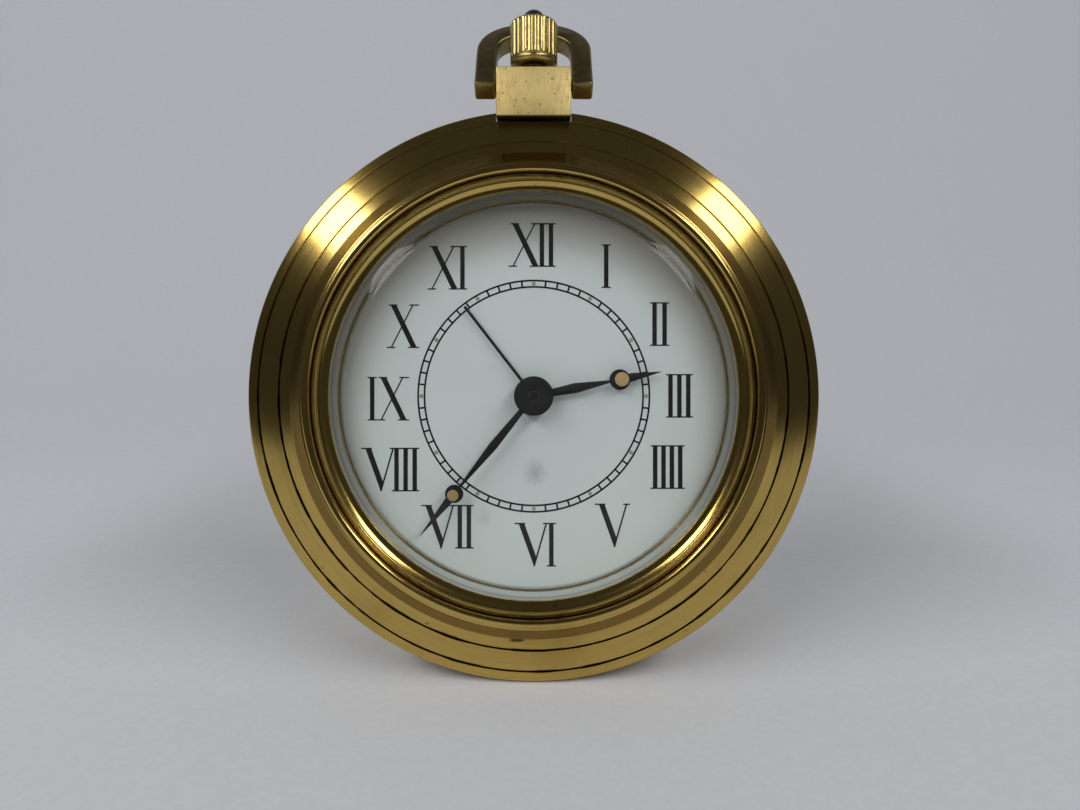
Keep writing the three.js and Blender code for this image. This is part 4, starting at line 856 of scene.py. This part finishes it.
def luminous_hand(label, body, angle, back, tip, lume_at, ring_radius, dot_radius, widths, boss_top):
    """A leaf, a round eye with its dot of paste set a little towards the tip, and a spear.

    widths are the leaf's at its root, its widest and where that is, then its waist and the spear.
    """
    root, blade, blade_at, waist, spear = widths
    front = back + HAND_THICKNESS
    waist_at = lume_at - ring_radius * 0.9
    collar_at = lume_at + ring_radius * 0.8
    spear_at = lume_at + ring_radius * 1.3
    leaf = [(root / 2, 0), (blade / 2, blade_at), (waist / 2, waist_at)]
    point = [(spear * 0.52, collar_at), (spear / 2, spear_at), (0.03, tip)]
    blades = [
        prism(half + [(-x, y) for x, y in reversed(half)], back, front) for half in (leaf, point)
    ]
    to_eye = Matrix.Translation((0, lume_at, 0))
    raised = front + 0.01
    eye = [(0, back), (ring_radius, back, 0.06), (ring_radius, raised, 0.1), (0, raised)]
    boss = [
        (BOSS_HOLE, back),
        (BOSS, back, 0.08),
        (BOSS, boss_top, 0.22),
        (BOSS_HOLE, boss_top + 0.02),
    ]
    where = place(turn=-angle)
    shapes = together(*blades, moved(lathe(fillet(eye), 64), to_eye), lathe(fillet(boss), 72))
    dress(add(f"{label}_blade", shapes, hand_black, where, 0.05), body, "hand_black", f"{label}_hand")
    paste = [(0, front), (dot_radius, front), (dot_radius, front + 0.05, 0.04), (0, front + 0.08)]
    to_dot = Matrix.Translation((0, lume_at + (ring_radius - dot_radius) * 0.62, 0))
    spot = add(f"{label}_paste", moved(lathe(fillet(paste), 40), to_dot), lume, where)
    dress(spot, body, "lume", f"{label}_hand_lume")


luminous_hand(
    "minute",
    "minute_work",
    angle=219.1,
    back=-1.1,
    tip=25.3,
    lume_at=17.7,
    ring_radius=1.28,
    dot_radius=0.8,
    widths=(0.62, 1.22, 9.05, 0.3, 1.05),
    boss_top=-0.5,
)
luminous_hand(
    "hour",
    "hour_work",
    angle=79.2,
    back=-1.8,
    tip=18.4,
    lume_at=12.4,
    ring_radius=1.47,
    dot_radius=1.0,
    widths=(0.74, 1.45, 6.0, 0.36, 1.18),
    boss_top=-1.5,
)
POINTER_ANGLE, POINTER_TIP, POINTER_HALF = 322.3, 16.1, 0.21
POINTER_BACK, POINTER_FRONT = -2.5, -2.2
alarm_pointer = together(
    box(-POINTER_HALF, POINTER_HALF, 0, POINTER_TIP, POINTER_BACK, POINTER_FRONT),
    lathe([(1.8, POINTER_BACK), (BOSS, POINTER_BACK), (BOSS, POINTER_FRONT), (1.8, POINTER_FRONT)], 72),
)
pointer = add("alarm_blade", alarm_pointer, hand_black, place(turn=-POINTER_ANGLE), 0.05)
dress(pointer, "alarm_pointer", "hand_black", "alarm_hand")

# Neck block, crown, cap and bow.
neck_box = box(-NECK_HALF, NECK_HALF, NECK_BOTTOM, NECK_TOP, NECK_BACK, NECK_FRONT)
neck = add("neck", neck_box, neck_brass, place(), 0.16, 3)
STEM_BORE = 1.05
stem_hole = add("stem_hole", rod(STEM_BORE, 38, 46), neck_brass, place(z=CROWN_AXIS, tilt=-90))
carve(neck, stem_hole)
dress(neck, "case", "neck_brass", "neck_block")

CROWN_BOTTOM, CROWN_HEIGHT, CROWN_RADIUS = 46.05, 7.9, 3.42
RIBS, RIBS_START, RIB_DEPTH, RIBBED_FROM = 20, 2.5, 0.26, 2.6
on_crown = place(y=CROWN_BOTTOM, z=CROWN_AXIS, tilt=-90)


def ribs(radius, level, angle):
    """The crown's flutes, which fade out at both ends."""
    share = (level - RIBS_START) / (CROWN_HEIGHT - RIBS_START)
    if radius < RIBBED_FROM or share <= 0:
        return radius
    fade = min(1.0, share / 0.04, (1.04 - share) / 0.1)
    valley = (1 - abs(math.sin(angle * RIBS / 2))) ** 1.6
    return radius - RIB_DEPTH * fade * valley


crown_profile = [
    (STEM_BORE, 0),
    (2.0, 0, 0.1),
    (2.0, 1.2, 0.15),
    (2.9, 1.3, 0.5),
    (3.38, 1.75, 0.5),
    (3.4, 2.3, 0.12),
    (3.25, 2.42, 0.05),
    (CROWN_RADIUS, 2.55, 0.05),
    *[(CROWN_RADIUS, 2.8 + i * 0.7) for i in range(7)],
    (CROWN_RADIUS, 7.55, 0.1),
    (3.1, 7.86, 0.15),
    (1.85, CROWN_HEIGHT, 0.05),
    (1.8, 7.3),
    (0, 7.3),
    (0, 4.4),
    (STEM_BORE, 4.4),
]
crown = add("crown_button", lathe(fillet(crown_profile, 3), RIBS * 14, ribs), crown_brass, on_crown)
dress(crown, "crown_button", "crown_brass", "crown")

CAP, CAP_FOOT, CAP_SPRING, CAP_RISE = 1.74, 7.4, 7.95, 1.8
cap_profile = [(0, CAP_FOOT), (CAP, CAP_FOOT), (CAP, CAP_SPRING)]
for step in range(1, 12):
    turn = math.radians(7.5 * step)
    cap_profile.append((CAP * math.cos(turn), CAP_SPRING + CAP_RISE * math.sin(turn)))
cap_profile.append((0, CAP_SPRING + CAP_RISE))
cap = add("crown_jewel", lathe(cap_profile, 64), cap_black, on_crown)
dress(cap, "crown_button", "cap_black", "crown_cap")

BOW_HALF, BOW_REACH, BOW_CORNER, BOW_END = 8.4, 14.15, 6.6, 1.2
BOW_BAR, BOW_THICKNESS, BOW_ANGLE = 3.0, 2.8, 35.5


def stirrup(inset):
    """Half-open outline of the bow, from foot to foot, inset from its outer edge."""
    half, reach, corner, end = BOW_HALF - inset, BOW_REACH - inset, BOW_CORNER - inset, BOW_END
    return [
        (-half, -end),
        *arc(-half + corner, reach - corner, corner, 180, 90, 16),
        *arc(half - corner, reach - corner, corner, 90, 0, 16),
        (half, -end),
    ]


bow_outline = stirrup(0) + list(reversed(stirrup(BOW_BAR)))
pivot = joint_place("bow_swing")
bow_shape = prism(bow_outline, -BOW_THICKNESS / 2, BOW_THICKNESS / 2)
bow = add("bow_loop", bow_shape, bow_brass, place(y=pivot.y, z=pivot.z, tilt=-BOW_ANGLE), 0.42, 4)
dress(bow, "bow", "bow_brass", "bow")
ALONG_X = Matrix.Rotation(math.radians(90), 4, "Y")
BOW_PIN, BOW_PIN_LENGTH = 0.6, 4.51
for side, start in (("left", -8.38), ("right", 3.87)):
    pin_shape = moved(rod(BOW_PIN, start, start + BOW_PIN_LENGTH, 0.12, 32), ALONG_X)
    pin = add(f"pin_{side}", pin_shape, bow_brass, place(y=pivot.y, z=pivot.z))
    dress(pin, "case", "bow_brass", f"bow_pin_{side}")

# Case body and back cover.
DRUM, DRUM_FRONT, DRUM_BACK, SHEET = 35.5, -1.5, -22.4, 0.8
OPENING, STUD_BORE = 28.5, 2.05
body_profile = [
    (DRUM, DRUM_FRONT),
    (DRUM, DRUM_BACK, 3.4),
    (OPENING, DRUM_BACK, 0.1),
    (OPENING, DRUM_BACK + SHEET, 0.1),
    (DRUM - SHEET, DRUM_BACK + SHEET, 2.7),
    (DRUM - SHEET, DRUM_FRONT),
]
case_body = add("case_drum", lathe(fillet(body_profile, 10), 224), case_brass, place())
stud_hole = add("stud_hole", rod(STUD_BORE, 33.6, 38), case_brass, place(z=CROWN_AXIS, tilt=-90))
carve(case_body, stud_hole)
dress(case_body, "case", "case_brass", "case_body")

COVER, COVER_BACK, COVER_FRONT = 30.95, -23.5, -22.7
cover_profile = [(0, COVER_BACK), (COVER, COVER_BACK, 0.3), (COVER, COVER_FRONT, 0.1), (0, COVER_FRONT)]
cover = add("back_plate_cover", lathe(fillet(cover_profile), 200), case_brass, place())
drills = []
for name, radius in (
    ("time_winding", 1.4),
    ("alarm_winding", 1.4),
    ("hand_setting", 1.2),
    ("alarm_setting", 1.0),
):
    at = joint_place(name)
    drills.append(add(f"drill_{name}", rod(radius, -24, -22), case_brass, place(at.x, at.y)))
carve(cover, *drills)
dress(cover, "case", "case_brass", "back_cover")

# Screws, winding keys and setting knobs on the back.
OUTSIDE = -23.8
SCREW_CIRCLE, SCREW_ANGLES = 24.7, (90, 200, 300)
SCREW_HEAD, SCREW_SHANK = 1.48, 0.6
HEAD_TOP, SHANK_END, SLOT_FLOOR, SLOT_HALF = -24.6, -21.5, -24.3, 0.2
screw_profile = [
    (0, HEAD_TOP),
    (SCREW_HEAD, HEAD_TOP, 0.2),
    (SCREW_HEAD, OUTSIDE, 0.05),
    (SCREW_SHANK, OUTSIDE),
    (SCREW_SHANK, SHANK_END),
    (0, SHANK_END),
]
for i, angle in enumerate(SCREW_ANGLES):
    turn = math.radians(angle)
    where = place(SCREW_CIRCLE * math.cos(turn), SCREW_CIRCLE * math.sin(turn))
    screw = add(f"screw_{i + 1}", lathe(fillet(screw_profile), 48), steel, where)
    carve(screw, add("slot", box(-2, 2, -SLOT_HALF, SLOT_HALF, -25, SLOT_FLOOR), steel, where))
    dress(screw, "case", "steel", f"cover_screw_{i + 1}")

key_outline = [
    (-2.2, 0.0),
    (-5.7, -1.55),
    (-5.98, -2.1),
    *arc(-4.32, -4.2, 1.66, 180, 270, 8),
    *arc(4.32, -4.2, 1.66, 270, 360, 8),
    (5.98, -2.1),
    (5.7, -1.55),
    (2.2, 0.0),
]
WING_HALF, WING_LEVEL = 0.65, -25.2
HUB, HUB_TOP, HUB_BORE, HUB_BORE_END = 2.18, -26.38, 1.25, -24.0
hub_profile = [
    (0, HUB_TOP),
    (HUB, HUB_TOP, 0.25),
    (HUB, OUTSIDE, 0.1),
    (HUB_BORE, OUTSIDE),
    (HUB_BORE, HUB_BORE_END),
    (0, HUB_BORE_END),
]
STANDING = Matrix.Translation((0, 0, WING_LEVEL)) @ Matrix.Rotation(math.radians(90), 4, "X")
for label in ("time", "alarm"):
    at = joint_place(f"{label}_winding")
    wings = moved(prism(key_outline, -WING_HALF, WING_HALF), STANDING)
    grip = add(f"{label}_grip", wings, key_brass, place(at.x, at.y), 0.25, 3)
    dress(grip, f"{label}_winding", "key_brass", f"{label}_key")
    hub = add(f"{label}_hub", lathe(fillet(hub_profile), 64), key_brass, place(at.x, at.y))
    dress(hub, f"{label}_winding", "key_brass")

KNOB_RIBS, KNOB_RIB_DEPTH = 24, 0.22


def knob_ribs(reach):
    """A ripple for lathe that cuts ribs outside a radius."""

    def ripple(radius, _, angle):
        if radius < reach:
            return radius
        return radius - KNOB_RIB_DEPTH * (0.5 - 0.5 * math.cos(angle * KNOB_RIBS)) ** 2

    return ripple


for label, joint, body, radius, height in (
    ("hand", "hand_setting", "minute_work", 3.98, 3.58),
    ("alarm", "alarm_setting", "alarm_setting", 2.98, 2.98),
):
    at = joint_place(joint)
    bottom = OUTSIDE - height
    outline = [
        (0, bottom),
        (radius * 0.55, bottom, 0.1),
        (radius * 0.6, bottom + 0.15, 0.1),
        (radius * 0.86, bottom + 0.05, 0.2),
        (radius, bottom + height * 0.15, 0.3),
        (radius, OUTSIDE - height * 0.3, 0.2),
        (radius * 0.6, OUTSIDE - height * 0.2, 0.1),
        (radius * 0.6, OUTSIDE),
        (0, OUTSIDE),
    ]
    grip = lathe(fillet(outline), 240, knob_ribs(radius * 0.85))
    knob = add(f"{label}_grip_knob", grip, key_brass, place(at.x, at.y))
    dress(knob, body, "key_brass", f"{label}_knob")

# Strut, its bracket and its hinge pin.
hinge = joint_place("strut_fold")
STRUT_LENGTH, STRUT_OPEN, STRUT_HALF = 24.6, 42, 0.6
STRUT_ROOT_HALF, STRUT_FOOT_HALF, STRUT_SHOULDER = 4.2, 13, 2.7
BARREL, BARREL_HALF = 1.33, 4.18
one_side = [
    (STRUT_ROOT_HALF, 0),
    (STRUT_ROOT_HALF, -STRUT_SHOULDER),
    (STRUT_FOOT_HALF, -STRUT_LENGTH * 0.9),
    (STRUT_FOOT_HALF, -STRUT_LENGTH - 2),
]
blade_outline = [(-x, y) for x, y in one_side] + one_side[::-1]
opened = place(y=hinge.y, z=hinge.z, tilt=STRUT_OPEN)
strut = add("strut_blade", prism(blade_outline, -STRUT_HALF, STRUT_HALF), plate_brass, opened, 0.12)
below = add("below_floor", box(-30, 30, -60, 60, -20, 0), case_brass, Matrix.Identity(4))
carve(strut, below)
dress(strut, "strut", "case_brass", "strut")
barrel = moved(rod(BARREL, -BARREL_HALF, BARREL_HALF, 0.12, 40), ALONG_X)
dress(add("strut_barrel", barrel, plate_brass, opened), "strut", "case_brass")

at_hinge = place(y=hinge.y, z=hinge.z)
BRACKET_HALF, BRACKET_GAP, BRACKET_LOW, BRACKET_HIGH = 6.88, 4.52, 1.66, 6.48
BRACKET_BACK, BRACKET_FRONT = 0.69, 1.47
bracket_shapes = [
    box(-BRACKET_HALF, BRACKET_HALF, BRACKET_LOW, BRACKET_HIGH, BRACKET_BACK, BRACKET_FRONT)
]
for x0, x1 in ((-BRACKET_HALF, -BRACKET_GAP), (BRACKET_GAP, BRACKET_HALF)):
    bracket_shapes.append(box(x0, x1, 0, 1.9, BRACKET_BACK, BRACKET_FRONT))
bracket = add("bracket_plate", together(*bracket_shapes), plate_brass, at_hinge, 0.1)
dress(bracket, "case", "case_brass", "stand_bracket")
EAR_LENGTH = 2.34
ears = [moved(rod(BARREL, x, x + EAR_LENGTH, 0.12, 40), ALONG_X) for x in (-6.87, 4.53)]
dress(add("bracket_ears", together(*ears), plate_brass, at_hinge), "case", "case_brass")
HINGE_ROD, HINGE_ROD_HALF = 0.68, 6.895
pin = moved(rod(HINGE_ROD, -HINGE_ROD_HALF, HINGE_ROD_HALF, 0.15, 32), ALONG_X)
dress(add("hinge_rod", pin, steel, at_hinge), "case", "steel", "hinge_pin")

# Every CAD piece that is still shown gets the finish of its slot.
slot_finishes = {
    "bezel_brass": bezel_brass,
    "neck_brass": neck_brass,
    "crown_brass": crown_brass,
    "bow_brass": bow_brass,
    "case_brass": case_brass,
    "key_brass": key_brass,
    "movement_brass": movement_brass,
    "steel": steel,
    "spring_steel": spring_steel,
    "crystal": crystal_clear,
    "dial_white": dial_white,
    "hand_black": hand_black,
    "lume": lume,
    "cap_black": cap_black,
}
slot_of = {part["node"]: part["material_slot"] for part in frame["record"]["subparts"]}
for name, node in nodes.items():
    slot = slot_of[name]
    node.data.materials.clear()
    node.data.materials.append(slot_finishes[slot])
    if not node.hide_render:
        smooth_by_angle(node.data, CAD_CREASE)
# The arbor's front end is blackened like the hands round it.
nodes["centre_arbor"].data.materials[0] = hand_black

# Floor, lamps and camera. The room is dark round the clock, as the brass shows it, but the far floor
# and the room beyond it look as pale as the near floor.
ROOM_COLOUR = rgb(0.95, 0.97, 1.0)
ROOM_LIGHT, PALE = 0.045, 0.41
CLOTH = rgb(0.80, 0.82, 0.86)
CLOTH_DARK = rgb(*(value * 0.96 for value in CLOTH[:3]))
FADE_START, FADE_END = 0.5, 0.85


def cloth():
    """The floor's finish: matt, with a fine weave. Far from the clock it shows one pale level."""
    finish = Finish("cloth")
    weave = finish.noise(finish.here(), 900.0, 3.0, 0.6)
    finish.set(
        Base_Color=finish.mix(finish.ramp(weave, 0.3, 0.7), CLOTH, CLOTH_DARK),
        Roughness=0.9,
        Normal=finish.bump(weave, 0.1, 0.1 * MM),
    )
    away = finish.length(finish.node("TexCoord").outputs["Object"])
    far = finish.ramp(away, FADE_START, FADE_END)
    glow = finish.node("Emission", Color=ROOM_COLOUR, Strength=PALE)
    finish.blend(finish.math("MULTIPLY", finish.seen_by_ray("Camera", "Transmission"), far), glow)
    return finish.material


def sweep():
    """A floor that curves up into a backdrop: from in front of the clock to behind it, in metres."""
    reach, bend_at, bend, height = 2.5, 0.12, 0.28, 1.2
    profile = [(-reach, 0.0), (-1.0, 0.0), (-0.3, 0.0), (bend_at, 0.0)]
    profile += arc(bend_at, bend, bend, -80, 0, 12)
    profile += [(bend_at + bend, 0.9), (bend_at + bend, height)]
    corners = [(side * reach / MM, y / MM, z / MM) for y, z in profile for side in (-1, 1)]
    faces = [(2 * i, 2 * i + 1, 2 * i + 3, 2 * i + 2) for i in range(len(profile) - 1)]
    return corners, faces


floor = add("floor", sweep(), cloth(), Matrix.Identity(4))

PANEL_WIDTH, PANEL_HEIGHT, PANEL_DISTANCE = 0.145, 0.75, 0.8
PANEL_TIP = math.radians(52)


def panel(name, clock_angle, radiance):
    """A soft panel that faces the clock from an angle round the dial, tipped away from its axis.

    Its width runs round the clock's axis, and its height runs in line with that axis.
    """
    data = bpy.data.lights.new(name, "AREA")
    data.shape = "RECTANGLE"
    data.size, data.size_y = PANEL_WIDTH, PANEL_HEIGHT
    data.energy = radiance * math.pi * PANEL_WIDTH * PANEL_HEIGHT
    made = bpy.data.objects.new(name, data)
    bpy.context.scene.collection.objects.link(made)
    around, out = math.radians(clock_angle), math.sin(PANEL_TIP)
    direction = Vector((math.sin(around) * out, math.cos(around) * out, math.cos(PANEL_TIP)))
    toward = (clock.to_3x3() @ direction).normalized()
    made.location = clock.translation + toward * PANEL_DISTANCE
    made.rotation_mode = "QUATERNION"
    aside = toward_reader.cross(toward).normalized()
    turn = Matrix((aside, toward.cross(aside), toward)).transposed()
    made.rotation_quaternion = turn.to_quaternion()


panel("right_panel", 45.8, 6.5)
panel("left_panel", 312.0, 7.7)

world = bpy.data.worlds.new("room")
bpy.context.scene.world = world
world.use_nodes = True
room = Wiring(world.node_tree)
background = room.tree.nodes["Background"]
room.put(background, "Color", ROOM_COLOUR)
seen = room.seen_by_ray("Camera", "Transmission")
room.put(background, "Strength", room.math("MULTIPLY_ADD", seen, PALE - ROOM_LIGHT, ROOM_LIGHT))

PICTURE_WIDTH, FOCAL_PIXELS = 1080, 811
CAMERA_PLACE = (0.89, -1.26, 113.3)
camera_data = bpy.data.cameras.new("camera")
camera_data.sensor_width = 36
camera_data.lens = FOCAL_PIXELS * camera_data.sensor_width / PICTURE_WIDTH
camera_data.clip_start = MM
camera = bpy.data.objects.new("camera", camera_data)
bpy.context.scene.collection.objects.link(camera)
camera.matrix_world = place(*CAMERA_PLACE)
bpy.context.scene.camera = camera
bpy.context.scene.view_settings.view_transform = "Standard"
